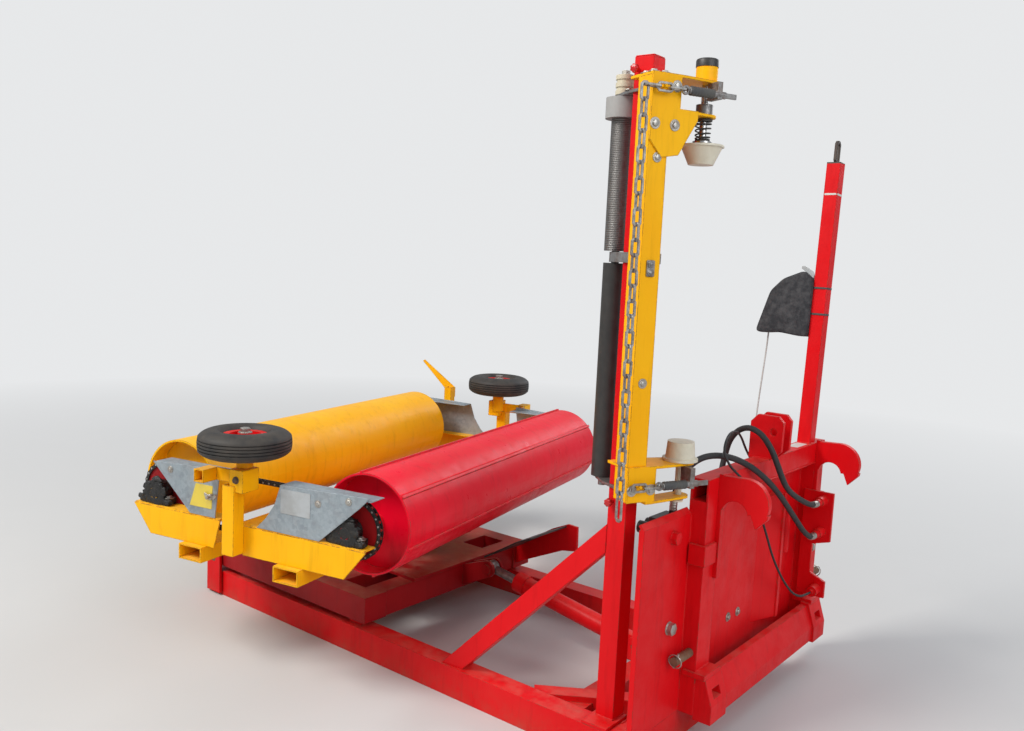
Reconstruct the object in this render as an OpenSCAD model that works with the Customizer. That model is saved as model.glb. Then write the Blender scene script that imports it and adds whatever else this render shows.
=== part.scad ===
/* [Lower frame] */
// Distance between the outer faces of the two side beams
frame_w = 990; // [900:10:1040]
// Width of a side beam
beam_w = 80; // [60:5:90]
// Height of a side beam, from the ground up
beam_h = 105; // [90:1:115]
// Wall of the frame tubes
tube_t = 6; // [4:0.5:8]
// Rear end of the side beams, behind the table axis
frame_back = 640; // [620:5:680]
// Front end of the side beams, ahead of the table axis
frame_front = 1500; // [1480:5:1500]
/* [Tilt frame] */
// Distance of the tilt hinge behind the table axis
hinge_back = 575; // [560:5:590]
// Height of the tilt hinge
hinge_z = 158; // [156:1:162]
// Diameter of the hinge pins
hinge_pin_d = 30; // [25:1:35]
// Height of the tilt frame tubes
tilt_h = 98; // [90:1:100]
// Gap between lower frame and tilt frame
tilt_gap = 24; // [20:1:26]
// Front end of the tilt frame, ahead of the table axis
tilt_front = 352; // [340:2:370]
/* [Turntable] */
// Angle at which the table is parked
park_angle = 12; // [0:1:20]
// Underside of the table tubes
table_z = 398; // [390:1:404]
// Height of the table tubes
table_tube_h = 54; // [50:1:58]
// Width of the table tubes
table_tube_w = 104; // [90:2:110]
// Distance between the table tubes
table_tube_pitch = 422; // [410:2:440]
// Distance between the outer faces of the end panels
panel_span = 1874; // [1860:2:1900]
// Length of an end panel along its top edge
panel_len = 1020; // [1000:5:1060]
// Height of an end panel
panel_h = 102; // [95:1:110]
/* [Drums] */
// Diameter of the drums
drum_d = 344; // [330:2:350]
// Length of the drums
drum_len = 1610; // [1560:5:1620]
// Distance between the drum axes
drum_pitch = 838; // [830:2:850]
// Height of the drum axes
drum_z = 600; // [594:1:606]
// Wall of the drums
drum_t = 8; // [5:0.5:10]
/* [Guide wheels] */
// Diameter of a guide wheel
wheel_d = 310; // [300:2:316]
// Width of a guide wheel tyre
wheel_w = 92; // [80:1:100]
// Distance between the two wheel axes
wheel_span = 1850; // [1840:2:1860]
// Height of the middle of the wheels
wheel_z = 839; // [832:1:860]
/* [Film dispenser] */
// Side of the film post
post_w = 62; // [50:1:70]
// Top of the film post
post_top = 2076; // [2040:2:2090]
// Middle of the film post, ahead of the table axis
post_x = 1369; // [1360:1:1380]
// Middle of the film post, across
post_y = -404; // [-410:1:-400]
// Angle between the film arms and the cross direction
dispenser_yaw = 25; // [15:1:32]
// Underside of the upper film plate
film_top = 2010; // [2000:1:2020]
// Top of the lower film plate
film_bottom = 918; // [914:1:924]
// Distance of the film axis from the post
film_reach = 155; // [150:1:170]
// Diameter of the two stretch rollers
roller_d = 70; // [64:1:74]
/* [Hitch] */
// Front face of the hitch wall, ahead of the table axis
hitch_x = 1556; // [1550:1:1570]
// Middle of the hitch, across
hitch_y = 270; // [250:5:280]
// Distance between the two lifting hooks
hook_span = 840; // [830:2:860]
// Height of the lower link pins
link_z = 305; // [290:1:310]
// Diameter of the lower link pins
link_pin_d = 28; // [27:1:29]
// Height of the top link pin above the lower link pins
mast_h = 645; // [610:1:650]
// Bore of the top link ears
top_pin_d = 25.5; // [24:0.5:26]
/* [Tilt cylinder] */
// Middle of the cylinder, across
ram_y = 85; // [80:1:100]
// Diameter of the cylinder barrel
barrel_d = 70; // [60:1:76]
// Diameter of the cylinder rod
rod_d = 35; // [30:1:40]

/* [Hidden] */
run_gap = 5;
seat_gap = 0.3;
// The middle of the whole machine's outline lies ahead of the table axis
hook_reach = 165;
drum_r = drum_d / 2;
back_reach = (drum_pitch / 2 + drum_r) * cos(park_angle) + drum_len / 2 * sin(park_angle);
shift_x = (hitch_x + hook_reach - back_reach) / 2;
side_y = frame_w / 2;
tilt_z = beam_h + tilt_gap;
tilt_top = tilt_z + tilt_h;
table_top = table_z + table_tube_h;
panel_y = panel_span / 2;
panel_t = 5;
panel_z = table_top;
shelf_top = panel_z + panel_h + panel_t;
lug_t = 12;

module machine() translate([-shift_x, 0, 0]) children();
module table() machine() rotate([0, 0, park_angle]) children();
module both_ends() for (end = [0, 180]) rotate([0, 0, end]) children();
module both_sides() for (side = [-1, 1]) scale_y(side) children();
module scale_y(side) if (side > 0) children(); else mirror([0, 1, 0]) children();

// A square tube along X from its lower near corner
module tube_x(len, w, h, t = tube_t) difference() {
    cube([len, w, h]);
    translate([-1, t, t]) cube([len + 2, w - 2 * t, h - 2 * t]);
}
module tube_y(len, w, h, t = tube_t) difference() {
    cube([w, len, h]);
    translate([t, -1, t]) cube([w - 2 * t, len + 2, h - 2 * t]);
}
module tube_z(len, w, d, t = tube_t) difference() {
    cube([w, d, len]);
    translate([t, t, -1]) cube([w - 2 * t, d - 2 * t, len + 2]);
}
// An outline in the X-Z plane made a plate, its middle at y = 0
module plate_xz(t) rotate([90, 0, 0]) linear_extrude(t, center = true) children();
module plate_yz(t) rotate([90, 0, 90]) linear_extrude(t, center = true) children();
module pin_y(d, len) rotate([90, 0, 0]) cylinder(d = d, h = len, center = true, $fn = 48);

lug_gap = beam_w + 2 * run_gap;
lug_mid = side_y - beam_w / 2;
ram_base = [1180, 124];
ram_eye = [480, 236];
ram_lug_z = 72;
eye_w = 34;
brace_w = 62;

module beam_between(a, b, w, h) {
    d = b - a;
    translate(a) rotate([0, -atan2(d[2], norm([d[0], d[1]])), atan2(d[1], d[0])])
        translate([0, -w / 2, -h / 2]) difference() {
            cube([norm(d), w, h]);
            translate([-1, 4, 4]) cube([norm(d) + 2, w - 8, h - 8]);
        }
}

module main_frame() color([0.72, 0.05, 0.04]) machine() {
    difference() {
        union() {
            both_sides() translate([-frame_back, side_y - beam_w, 0])
                tube_x(frame_back + frame_front, beam_w, beam_h);
            both_sides() for (face = [-1, 1])
                translate([-hinge_back, lug_mid + face * (lug_gap + lug_t) / 2, 0])
                    plate_xz(lug_t) hinge_lug_outline();
            // What joins the lugs to their beam on the inner and outer side
            both_sides() for (face = [-1, 1])
                translate([-hinge_back - 40, lug_mid + face * (beam_w / 2 + run_gap / 2) - run_gap / 2, 10])
                    cube([80, run_gap, 60]);
        }
        both_sides() translate([-hinge_back, lug_mid, hinge_z]) pin_y(hinge_pin_d + 0.1, 200);
    }
    cross_len = frame_w - 2 * beam_w;
    for (x = [-480, ram_base[0] - 10]) translate([x, -cross_len / 2, 12]) tube_y(cross_len, beam_w, 60);
    translate([frame_front - beam_w, -cross_len / 2, 0]) tube_y(cross_len, beam_w, beam_h);
    // Lugs that carry the foot of the cylinder
    for (face = [-1, 1]) difference() {
        translate([ram_base[0], ram_y + face * (eye_w / 2 + 3 + lug_t / 2), ram_lug_z])
            plate_xz(lug_t) ram_lug_outline();
        translate([ram_base[0], ram_y, ram_base[1]]) pin_y(25.1, 200);
    }
    // Stops under the front of the tilt frame
    both_sides() translate([250, side_y - beam_w / 2 - 15, beam_h]) cube([60, 30, tilt_gap - seat_gap]);
    translate([frame_front - beam_w - 330, -side_y + beam_w - 8, 12]) rotate([0, 0, 34]) tube_x(340, 60, 80);
}
module hinge_lug_outline() union() {
    translate([-45, 10]) square([90, hinge_z - 10]);
    translate([0, hinge_z]) circle(r = 45, $fn = 48);
}
module ram_lug_outline() union() {
    translate([-35, 0]) square([70, ram_base[1] - ram_lug_z]);
    translate([0, ram_base[1] - ram_lug_z]) circle(r = 35, $fn = 48);
}

module link_pins() color([0.45, 0.42, 0.38]) machine() {
    pin_len = 100;
    for (side = [-1, 1]) translate([hitch_x - 25, hitch_y + side * (column_out + pin_len / 2), link_z])
        pin_y(link_pin_d, pin_len);
    both_sides() translate([-hinge_back, lug_mid, hinge_z]) pin_y(hinge_pin_d, lug_gap + 2 * lug_t);
    translate([ram_base[0], ram_y, ram_base[1]]) pin_y(25, eye_w + 6 + 2 * lug_t);
}

column_w = 60;
column_d = 90;
hook_t = 22;
column_in = hook_span / 2 - 10 - hook_t / 2;
column_out = column_in + column_d;
column_x = hitch_x - column_w;
wall_foot = beam_h;
wall_top = 856;
top_beam_h = 75;
near_plate_h = 640;
ear_gap = 52;
ear_t = 16;
top_pin_back = -6;
// Each column of the hitch, from its inner face outwards
module each_column() translate([0, hitch_y, 0]) both_sides() translate([0, column_in, 0]) children();
module hitch_wall() color([0.72, 0.05, 0.04]) machine() {
    each_column() {
        translate([column_x, 0, wall_foot]) tube_z(wall_top - top_beam_h - wall_foot, column_w, column_d);
        // Block and foot of the hook's latch
        translate([column_x + 14, column_d - 1, 588]) cube([56, 15, 64]);
        translate([hitch_x - 1, hook_t + 4, 588]) cube([11, column_d - hook_t + 10, 64]);
        translate([hitch_x - 40, -8, 232]) cube([76, column_d + 18, 16]);
    }
    translate([column_x, hitch_y - column_out, wall_top - top_beam_h])
        tube_y(2 * column_out, column_w, top_beam_h);
    lower_beam();
    near_plate();
    // The panel between the columns with the slanted plate on it
    translate([column_x, hitch_y - column_in, wall_foot])
        cube([8, 2 * column_in, wall_top - top_beam_h - wall_foot]);
    translate([column_x, hitch_y + 30, 240]) linear_extrude(460)
        polygon([[7, 0], [46, 120], [52, 120], [52, 140], [7, 140]]);
    translate([hitch_x - 22, hitch_y + 215, 470]) {
        cylinder(d = 30, h = 170, $fn = 32);
        translate([-32, -10, 110]) cube([32, 20, 24]);
    }
    // Ears of the top link
    difference() {
        for (side = [-1, 1]) translate([hitch_x, hitch_y + side * (ear_gap + ear_t) / 2, 0])
            plate_xz(ear_t) top_ear_outline();
        translate([hitch_x - top_pin_back, hitch_y, link_z + mast_h]) pin_y(top_pin_d, 200);
    }
}
module top_ear_outline() {
    ear_top = link_z + mast_h + 55;
    polygon([[-76, wall_top - 4], [0, wall_top - 4], [38, wall_top + 30], [40, ear_top - 20], [22, ear_top],
        [-52, ear_top], [-76, ear_top - 26]]);
}
module bent_profile(grow) polygon([[0, 100 - grow], [52 + grow, 100 - grow], [52 + grow, 150],
    [24 + grow, 228 + grow], [0, 230 + grow]]);
module lower_beam() {
    // The bent beam between the two brackets under the columns
    translate([hitch_x, hitch_y, 0]) plate_xz(2 * column_in - 40) difference() {
        bent_profile(0);
        translate([-1, 0]) intersection() {
            translate([-6, 0]) bent_profile(0);
            translate([-10, 106]) square([100, 116]);
        }
    }
    each_column() difference() {
        translate([hitch_x, 32, 0]) plate_xz(110) bent_profile(8);
        translate([hitch_x + 20, 10, 168]) cube([80, 50, 28]);
    }
}
module near_plate() {
    left = -side_y - 5;
    wide = hitch_y - column_out - left;
    translate([column_x, left, wall_foot]) {
        cube([8, wide, near_plate_h]);
        translate([-10, 0, 0]) cube([18, 8, near_plate_h]);
        translate([0, wide / 2, near_plate_h]) plate_xz(wide)
            polygon([[0, -6], [8, 0], [-8, 16], [-12, 10]]);
    }
}

hook_top = 866;
module hook_outline() {
    difference() {
        union() {
            translate([0, -330]) square([14, 330]);
            difference() {
                hull() {
                    translate([0, -120]) square([20, 115]);
                    translate([90, -75]) circle(r = 75, $fn = 48);
                }
                translate([-1, -400]) square([400, 290]);
            }
            polygon([[110, -110], [165, -100], [163, -112], [127, -150]]);
        }
        translate([58, -118]) circle(r = 42, $fn = 48);
        translate([14, -200]) square([80, 82]);
    }
}
module lifting_hooks() color([0.76, 0.05, 0.04]) machine() {
    each_column() translate([hitch_x, hook_t / 2, hook_top]) plate_xz(hook_t) hook_outline();
}

module film_post() color([0.70, 0.05, 0.04]) machine() {
    translate([post_x - post_w / 2, post_y - post_w / 2, beam_h])
        tube_z(post_top - beam_h, post_w, post_w, 4);
    translate([post_x - post_w / 2 - 14, -side_y, beam_h])
        cube([post_w + 28, post_y + post_w / 2 + side_y, 10]);
    // The brace, cut level on the beam and upright on the post
    difference() {
        beam_between([760, -side_y + 40, beam_h - 22], [post_x, post_y, 706], brace_w, brace_w);
        translate([600, -side_y - 50, beam_h - 200]) cube([400, 200, 200]);
        translate([post_x - post_w / 2 + 1, post_y - 100, 400]) cube([200, 200, 500]);
    }
}

module dispenser() machine() translate([post_x, post_y, 0]) rotate([0, 0, -dispenser_yaw]) children();
carrier_w = 64;
carrier_x = post_w / 2 * (cos(dispenser_yaw) + sin(dispenser_yaw)) + carrier_w / 2 + seat_gap;
carrier_y = -30;
carrier_near = carrier_y - carrier_w / 2;
carrier_far = carrier_y + carrier_w / 2;
carrier_front = carrier_x + carrier_w / 2;
film_x = 60;
plate_t = 8;
low_arm_drop = 104;
arm_z = film_top - 92;
bracket_t = 6;
module film_carrier() color([0.93, 0.62, 0.02]) dispenser()
    translate([carrier_x - carrier_w / 2, carrier_near, 0]) {
        translate([0, 0, film_bottom]) tube_z(film_top - film_bottom, carrier_w, carrier_w, 4);
        translate([0, 0, film_bottom - low_arm_drop])
            tube_z(low_arm_drop - plate_t, carrier_w, carrier_w, 4);
    }
peg_d = 9;
module bracket_plate() translate([carrier_front + bracket_t / 2, 0, 0]) plate_yz(bracket_t) children();
module chain_peg(z) translate([carrier_front, side_link_y + link_pitch, z + peg_rise]) rotate([0, 90, 0])
    cylinder(d = peg_d, h = chain_out + link_w / 4, $fn = 24);
module film_plates() color([0.93, 0.62, 0.02]) dispenser() {
    for (z = [film_bottom - plate_t, film_top]) translate([0, 0, z]) film_plate();
    translate([0, 0, arm_z]) arm_plate(34);
    translate([0, 0, film_bottom - low_arm_drop - plate_t]) arm_plate(30);
    bracket_plate() polygon([[carrier_near, film_top], [34, film_top], [34, arm_z + plate_t],
        [96, arm_z + plate_t], [96, arm_z - 18], [36, arm_z - 118], [-20, arm_z - 128],
        [carrier_near, arm_z - 82]]);
    bracket_plate() translate([carrier_near, film_bottom - low_arm_drop])
        square([96, low_arm_drop - plate_t]);
    for (z = [lever_top, lever_low]) chain_peg(z);
    // The tube that takes the raised spindle
    translate([film_x, film_reach, film_top + plate_t]) difference() {
        cylinder(d = post_w, h = 62, $fn = 48);
        translate([0, 0, -1]) cylinder(d = 22, h = 56, $fn = 48);
    }
}
module film_plate() linear_extrude(plate_t) difference() {
    hull() {
        translate([film_x, film_reach]) circle(r = 42, $fn = 48);
        translate([0, carrier_near]) square([carrier_front + bracket_t, 112]);
    }
    translate([film_x, film_reach]) circle(d = 22, $fn = 48);
    post_hole();
}
module arm_plate(r) linear_extrude(plate_t) difference() {
    hull() {
        translate([film_x, film_reach]) circle(r = r, $fn = 48);
        translate([carrier_x - 16, carrier_far]) square([16 + carrier_w / 2 + bracket_t, 20]);
    }
    translate([film_x, film_reach]) circle(d = 22, $fn = 48);
}
module post_hole() rotate([0, 0, dispenser_yaw]) square(post_w + 2 * seat_gap, center = true);
lever_top = film_top - 35;
lever_low = film_bottom - 56;
chain_out = 22;
lever_x = carrier_front + chain_out;
// A lever with its grip and eye, held by a block under the plate above it
module film_lever(z, plate_z) translate([lever_x, 0, z]) {
    translate([0, 170, 0]) pin_y(20, 2);
    translate([0, 108, 0]) pin_y(20, 124);
    translate([-3, 170, -7]) cube([6, 40, 14]);
    translate([-40, 140, -13]) cube([48, 16, plate_z - z + 13]);
    difference() {
        translate([0, lever_eye_y, 0]) rotate([0, 90, 0]) cylinder(d = 26, h = 6, center = true, $fn = 24);
        translate([0, lever_eye_y, 0]) rotate([0, 90, 0]) cylinder(d = 13.6, h = 8, center = true, $fn = 24);
    }
}
module film_levers() color([0.42, 0.42, 0.42]) dispenser() {
    film_lever(lever_top, film_top);
    film_lever(lever_low, film_bottom - plate_t);
    translate([film_x, film_reach, arm_z + plate_t]) difference() {
        cylinder(d = 48, h = 30, $fn = 48);
        translate([0, 0, -1]) cylinder(d = 22, h = 40, $fn = 48);
    }
}
roller_at = [[-114, -5], [-134, 75]];
roller_low = 842;
roller_high = 1918;
roller_split = 1513;
split_gap = 18;
collar_h = 60;
collar_d = [108, 44];
gear_z = roller_high + collar_h + plate_t + 2 * seat_gap;
gear_h = 57;
roller_neck = 24;
neck_out = 30;
roller_gap = norm(roller_at[1] - roller_at[0]);
gear_rs = [28.5, roller_gap - 28.5 - seat_gap];
module stretch_roller(k) color([0.42, 0.42, 0.42]) dispenser() translate(roller_at[k]) {
    translate([0, 0, roller_low])
        cylinder(d = roller_d, h = roller_split - split_gap - roller_low, $fn = 48);
    translate([0, 0, roller_split + split_gap])
        cylinder(d = roller_d, h = roller_high - roller_split - split_gap, $fn = 48);
    translate([0, 0, roller_high]) cylinder(d = collar_d[k], h = collar_h, $fn = 48);
    translate([0, 0, roller_low - neck_out])
        cylinder(d = roller_neck, h = gear_z + gear_h - roller_low + neck_out, $fn = 48);
    // The toothed wheels that join the two rollers, ridged
    translate([0, 0, gear_z]) cylinder(r = gear_rs[k] - 3, h = gear_h, $fn = 48);
    for (step = [0 : 2]) translate([0, 0, gear_z + step * gear_h * 0.385])
        cylinder(r = gear_rs[k], h = gear_h * 0.23, $fn = 48);
}
// Plates hold the rollers to the post, below, above and at the split
module roller_plates() color([0.35, 0.35, 0.35]) dispenser() {
    translate([0, 0, roller_low - plate_t - seat_gap]) roller_plate(plate_t, 22);
    translate([0, 0, roller_split - split_gap + 3]) roller_plate(2 * split_gap - 6, 18);
    translate([0, 0, roller_high + collar_h + seat_gap]) roller_plate(plate_t, 26);
}
module roller_plate(t, r) linear_extrude(t) difference() {
    hull() {
        for (at = roller_at) translate(at) circle(r = r, $fn = 32);
        translate([-48, -46]) square([96, 96]);
    }
    for (at = roller_at) translate(at) circle(d = roller_neck + 0.2, $fn = 48);
    post_hole();
    translate([carrier_x - carrier_w / 2 - seat_gap, -100]) square(300);
}
module roller_a() stretch_roller(0);
module roller_b() stretch_roller(1);
cone_drop = 131;
cone_z = arm_z - cone_drop;
spindle_d = 21.8;
module film_axis(z) dispenser() translate([film_x, film_reach, z]) children();
module upper_film_cone() color([0.88, 0.88, 0.84]) film_axis(cone_z) difference() {
    union() {
        cylinder(r1 = 36, r2 = 59, h = 50, $fn = 64);
        translate([0, 0, 50]) cylinder(r = 64, h = 6, $fn = 64);
    }
    translate([0, 0, 10]) cylinder(d = spindle_d + 0.1, h = 60, $fn = 48);
    translate([0, 0, 20]) difference() {
        cylinder(r1 = 36, r2 = 53, h = 37, $fn = 64);
        translate([0, 0, -1]) cylinder(r = 24, h = 60, $fn = 48);
    }
}
module cone_spindle() color([0.40, 0.40, 0.40]) film_axis(cone_z + 10 + seat_gap) {
    cylinder(d = spindle_d, h = film_top + plate_t - cone_z - 12, $fn = 48);
    translate([0, 0, 50]) cylinder(d = 56, h = 6, $fn = 48);
}
module lower_film_cone() color([0.88, 0.88, 0.84]) film_axis(film_bottom + seat_gap) {
    cylinder(r = 53, h = 8, $fn = 64);
    cylinder(r1 = 45, r2 = 40, h = 58, $fn = 64);
    axle = low_arm_drop + plate_t + 14;
    translate([0, 0, -axle]) cylinder(d = spindle_d, h = axle, $fn = 48);
    translate([0, 0, -axle]) cylinder(d = 34, h = 6, $fn = 48);
}

chain_wire = 6;
link_w = 27;
link_half = 13.5;
link_pitch = 2 * (link_half + link_w / 2 - chain_wire) - seat_gap;
chain_links = 27;
peg_rise = (link_w - 2 * chain_wire - peg_d) / 2 - seat_gap;
side_link_y = -74;
lever_eye_y = side_link_y + 2 * link_pitch + link_half + link_w / 2 - 0.5;
hang_y = side_link_y - link_half - link_w / 2 + chain_wire / 2;
hang_z = lever_top + chain_wire / 2 - link_half - link_w / 2 + chain_wire;
module hang_chain() color([0.66, 0.66, 0.64]) dispenser() translate([lever_x, 0, 0]) {
    for (k = [0 : chain_links - 1]) translate([0, hang_y, hang_z - k * link_pitch])
        rotate([0, 0, 90 * ((k + 1) % 2)]) chain_link();
    // The links across to the levers
    for (k = [0 : 2]) translate([0, side_link_y + k * link_pitch, lever_top]) side_link(k);
    for (k = [1 : 2]) translate([0, side_link_y + k * link_pitch, lever_low]) side_link(k);
    snap_hook();
}
module side_link(k) rotate([90, 0, 0]) rotate([0, 0, 90 * (k % 2)]) chain_link();
module octagon(w) rotate([0, 0, 22.5]) circle(d = w / cos(22.5), $fn = 8);
// A long octagon, its ends half octagons of width w about y = half and y = -half
function half_octagon(w, half) = let (f = w / 2 * tan(22.5)) [[w / 2, half + f], [f, half + w / 2],
    [-f, half + w / 2], [-w / 2, half + f]];
module link_shape(w, half) polygon(concat(half_octagon(w, half), -half_octagon(w, half)));
module chain_link() rotate([90, 0, 0]) linear_extrude(chain_wire, center = true) difference() {
    link_shape(link_w, link_half);
    link_shape(link_w - 2 * chain_wire, link_half);
}
// The snap hook with its eye through the last link
hook_eye = 15;
snap_z = hang_z - (chain_links - 1) * link_pitch - link_half - link_w / 2 + chain_wire + 0.8 - hook_eye / 2;
module snap_hook() translate([0, hang_y, snap_z])
    rotate([90, 0, 0]) linear_extrude(5, center = true) difference() {
        union() {
            octagon(hook_eye + 12);
            translate([0, -40]) link_shape(30, 22);
        }
        octagon(hook_eye);
        translate([0, -40]) link_shape(18, 20);
    }

bag_post_y = 650;
bag_post_w = 50;
bag_post_len = 1040;
bag_lean = 3.5;
bag_thick = 90;
// The post of the control bag leans outwards on the end of the top beam
module bag_frame() machine() translate([hitch_x - 34, bag_post_y, wall_top])
    rotate([-bag_lean, 0, 0]) children();
module bag_post() color([0.70, 0.05, 0.04]) difference() {
    bag_frame() {
        translate([-bag_post_w / 2, -bag_post_w / 2, -10])
            tube_z(bag_post_len + 10, bag_post_w, bag_post_w, 4);
        translate([-bag_post_w / 2, -bag_post_w / 2, bag_post_len]) cube([bag_post_w, bag_post_w, 5]);
        translate([0, 0, bag_post_len + 44]) plate_yz(10) difference() {
            link_shape(38, 22);
            link_shape(20, 20);
        }
    }
    machine() translate([hitch_x - 200, bag_post_y - 200, wall_top - 100]) cube([400, 400, 100]);
}
module control_bag() color([0.05, 0.05, 0.05]) bag_frame() translate([-bag_post_w / 2 - seat_gap, 0, 400])
    plate_xz(bag_thick)
        polygon([[-204, 14], [-184, 0], [0, 0], [0, 212], [-40, 240], [-115, 207], [-162, 160]]);

module ram_axis() machine() translate([ram_base[0], ram_y, ram_base[1]])
    rotate([0, -atan2(ram_eye[1] - ram_base[1], ram_base[0] - ram_eye[0]) * -1, 0]) children();
ram_len = norm([ram_base[0] - ram_eye[0], ram_eye[1] - ram_base[1]]);
barrel_len = 570;
module tilt_barrel() color([0.70, 0.06, 0.05]) ram_axis() difference() {
    union() {
        rotate([0, -90, 0]) cylinder(d = barrel_d, h = barrel_len, $fn = 64);
        translate([-barrel_len, 0, 0]) rotate([0, 90, 0]) cylinder(d = barrel_d + 10, h = 50, $fn = 64);
        pin_y(barrel_d, eye_w);
    }
    translate([-barrel_len - 1, 0, 0]) rotate([0, 90, 0])
        cylinder(d = rod_d + 0.3, h = barrel_len - 60, $fn = 64);
    pin_y(25.3, 100);
    for (side = [-1, 1]) translate([-25, side * (eye_w / 2 + 50), 0]) cube([160, 100, 100], center = true);
}
module tilt_rod() color([0.62, 0.62, 0.60]) ram_axis() difference() {
    union() {
        translate([-ram_len, 0, 0]) rotate([0, 90, 0]) cylinder(d = rod_d, h = ram_len - 80, $fn = 64);
        translate([-ram_len, 0, 0]) pin_y(58, eye_w);
    }
    for (face = [-1, 1]) translate([-ram_len, face * eye_w / 2, 0]) pin_y(25, 4);
}

module tilt_frame() color([0.60, 0.04, 0.04]) machine() {
    back = hinge_back + 38;
    difference() {
        union() {
            both_sides() translate([-back, side_y - beam_w, tilt_z])
                tube_x(back + tilt_front, beam_w, tilt_h);
            both_sides() translate([-hinge_back, lug_mid, hinge_z]) pin_y(56, beam_w);
        }
        both_sides() translate([-hinge_back, lug_mid, hinge_z]) pin_y(hinge_pin_d + 0.1, 200);
    }
    cross_len = frame_w - 2 * beam_w;
    for (x = [-480, -160, 80, tilt_front - beam_w]) translate([x, -cross_len / 2, tilt_z])
        tube_y(cross_len, beam_w, tilt_h);
    both_sides() translate([tilt_front, side_y - 110, tilt_z]) cube([6, 110, tilt_h]);
    translate([-200, -240, tilt_top]) cube([560, 480, 12]);
    // Lugs that take the cylinder's rod eye
    for (face = [-1, 1]) translate([0, ram_y + face * (eye_w / 2 + 3 + lug_t / 2), 0])
        plate_xz(lug_t) hull() {
            translate([tilt_front - 2, tilt_z + 10]) square([4, tilt_h - 12]);
            translate(ram_eye) circle(r = 34, $fn = 32);
        }
    for (face = [-1, 1]) translate([ram_eye[0], ram_y + face * (eye_w / 2 + 3 + lug_t), ram_eye[1]])
        pin_y(40, 12);
}
module table_pedestal() color([0.20, 0.19, 0.18]) machine() translate([0, 0, tilt_top + 12])
    cylinder(d = 260, h = table_z - 12 - seat_gap - tilt_top - 12, $fn = 96);
module table_motor() color([0.12, 0.12, 0.12]) machine() translate([0, 150, tilt_top - 92]) {
    cylinder(d = 90, h = 92, $fn = 48);
    translate([0, 0, -30]) cylinder(d = 60, h = 32, $fn = 48);
}
// The raised arm on the far beam and the dark sheet along its top edge
guard_t = 12;
sheet_w = 250;
guard_y = side_y - beam_w - guard_t / 2;
guard_x = tilt_front + 6;
module table_guard() color([0.72, 0.05, 0.04]) machine() translate([guard_x, guard_y, 0]) plate_xz(guard_t)
    polygon([[0, 150], [0, 235], [103, 296], [191, 350], [266, 384], [316, 382], [319, 278],
        [246, 265], [55, 178]]);
module guard_sheet() color([0.07, 0.08, 0.10]) machine()
    translate([guard_x, guard_y - (guard_t + sheet_w) / 2, 0]) plate_xz(sheet_w)
    polygon([[22, 244], [103, 292], [191, 346], [262, 378], [264, 372], [193, 340], [105, 286], [25, 238]]);

module table_frame() color([0.90, 0.60, 0.03]) table() {
    tube_len = panel_span - 2 * panel_t + 60;
    for (side = [-1, 1]) translate([side * table_tube_pitch / 2 - table_tube_w / 2, -tube_len / 2, table_z])
        tube_y(tube_len, table_tube_w, table_tube_h, 5);
    cross = table_tube_pitch - table_tube_w;
    for (y = [-600, -120, 40, 520]) translate([-cross / 2, y, table_z])
        tube_x(cross, beam_w, table_tube_h, 5);
    translate([0, 0, table_z - 12]) cylinder(d = 420, h = 12, $fn = 96);
}
module panel_half(low_end, top_end)
    polygon([[low_end, 0], [427, 0], [panel_len / 2, panel_h], [top_end, panel_h]]);
shelf_d = 56;
module end_panel() translate([0, -panel_y + panel_t / 2, panel_z]) {
    plate_xz(panel_t) panel_half(6, -4);
    mirror([1, 0, 0]) plate_xz(panel_t) panel_half(125, 97);
    // The folded shelf behind the top edge
    for (side = [0, 1]) mirror([side, 0, 0]) translate([side == 0 ? 35 : 100, 0, panel_h])
        cube([panel_len / 2 - (side == 0 ? 40 : 105), shelf_d, panel_t]);
}
module end_panels() color([0.93, 0.62, 0.02]) table() both_ends() end_panel();

module cover_right() polygon([[65, 0], [326, 0], [484, 136], [520, 172], [165, 162], [140, 90], [105, 40]]);
module cover_left() polygon([[-121, 0], [-236, 0], [-415, 160], [-100, 174]]);
module end_cover() translate([0, -panel_y + 1.5, shelf_top]) {
    plate_xz(3) cover_right();
    plate_xz(3) cover_left();
    translate([165, 1, 159]) cube([360, 70, 3]);
    translate([-400, 1, 159]) cube([300, 70, 3]);
}
module chain_covers() color([0.60, 0.64, 0.66]) table() both_ends() end_cover();

mast_w = 50;
mast_x = -15;
mast_top = 700;
socket_w = 42;
module wheel_masts() color([0.93, 0.62, 0.02]) table() both_ends() {
    difference() {
        translate([mast_x - mast_w / 2, -panel_y - mast_w - seat_gap, panel_z + 8])
            tube_z(mast_top - panel_z - 8, mast_w, mast_w, 5);
        translate([-2 * mast_w, -panel_y - 80, mast_top - 4]) rotate([28, 0, 0]) cube([4 * mast_w, 200, 100]);
    }
    // An open tube that points outwards, on a plate beside the arm
    translate([-145, -panel_y - 73, mast_top]) tube_y(69, socket_w, socket_w + 2, 4);
    translate([-107, -panel_y - 12, mast_top]) cube([97, 8, socket_w + 2]);
    // The arm that carries the axle stands on the mast and reaches in to it
    translate([mast_x, -panel_y - 44, mast_top - 20]) cube([58, panel_y + 64 - wheel_span / 2, 76]);
    translate([0, -wheel_span / 2, mast_top + 4])
        cylinder(d = 56, h = wheel_z - 34 - seat_gap - mast_top - 4, $fn = 48);
    translate([0, -wheel_span / 2, mast_top + 4])
        cylinder(d = axle_d, h = wheel_z + 44 - mast_top - 4, $fn = 48);
}
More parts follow.
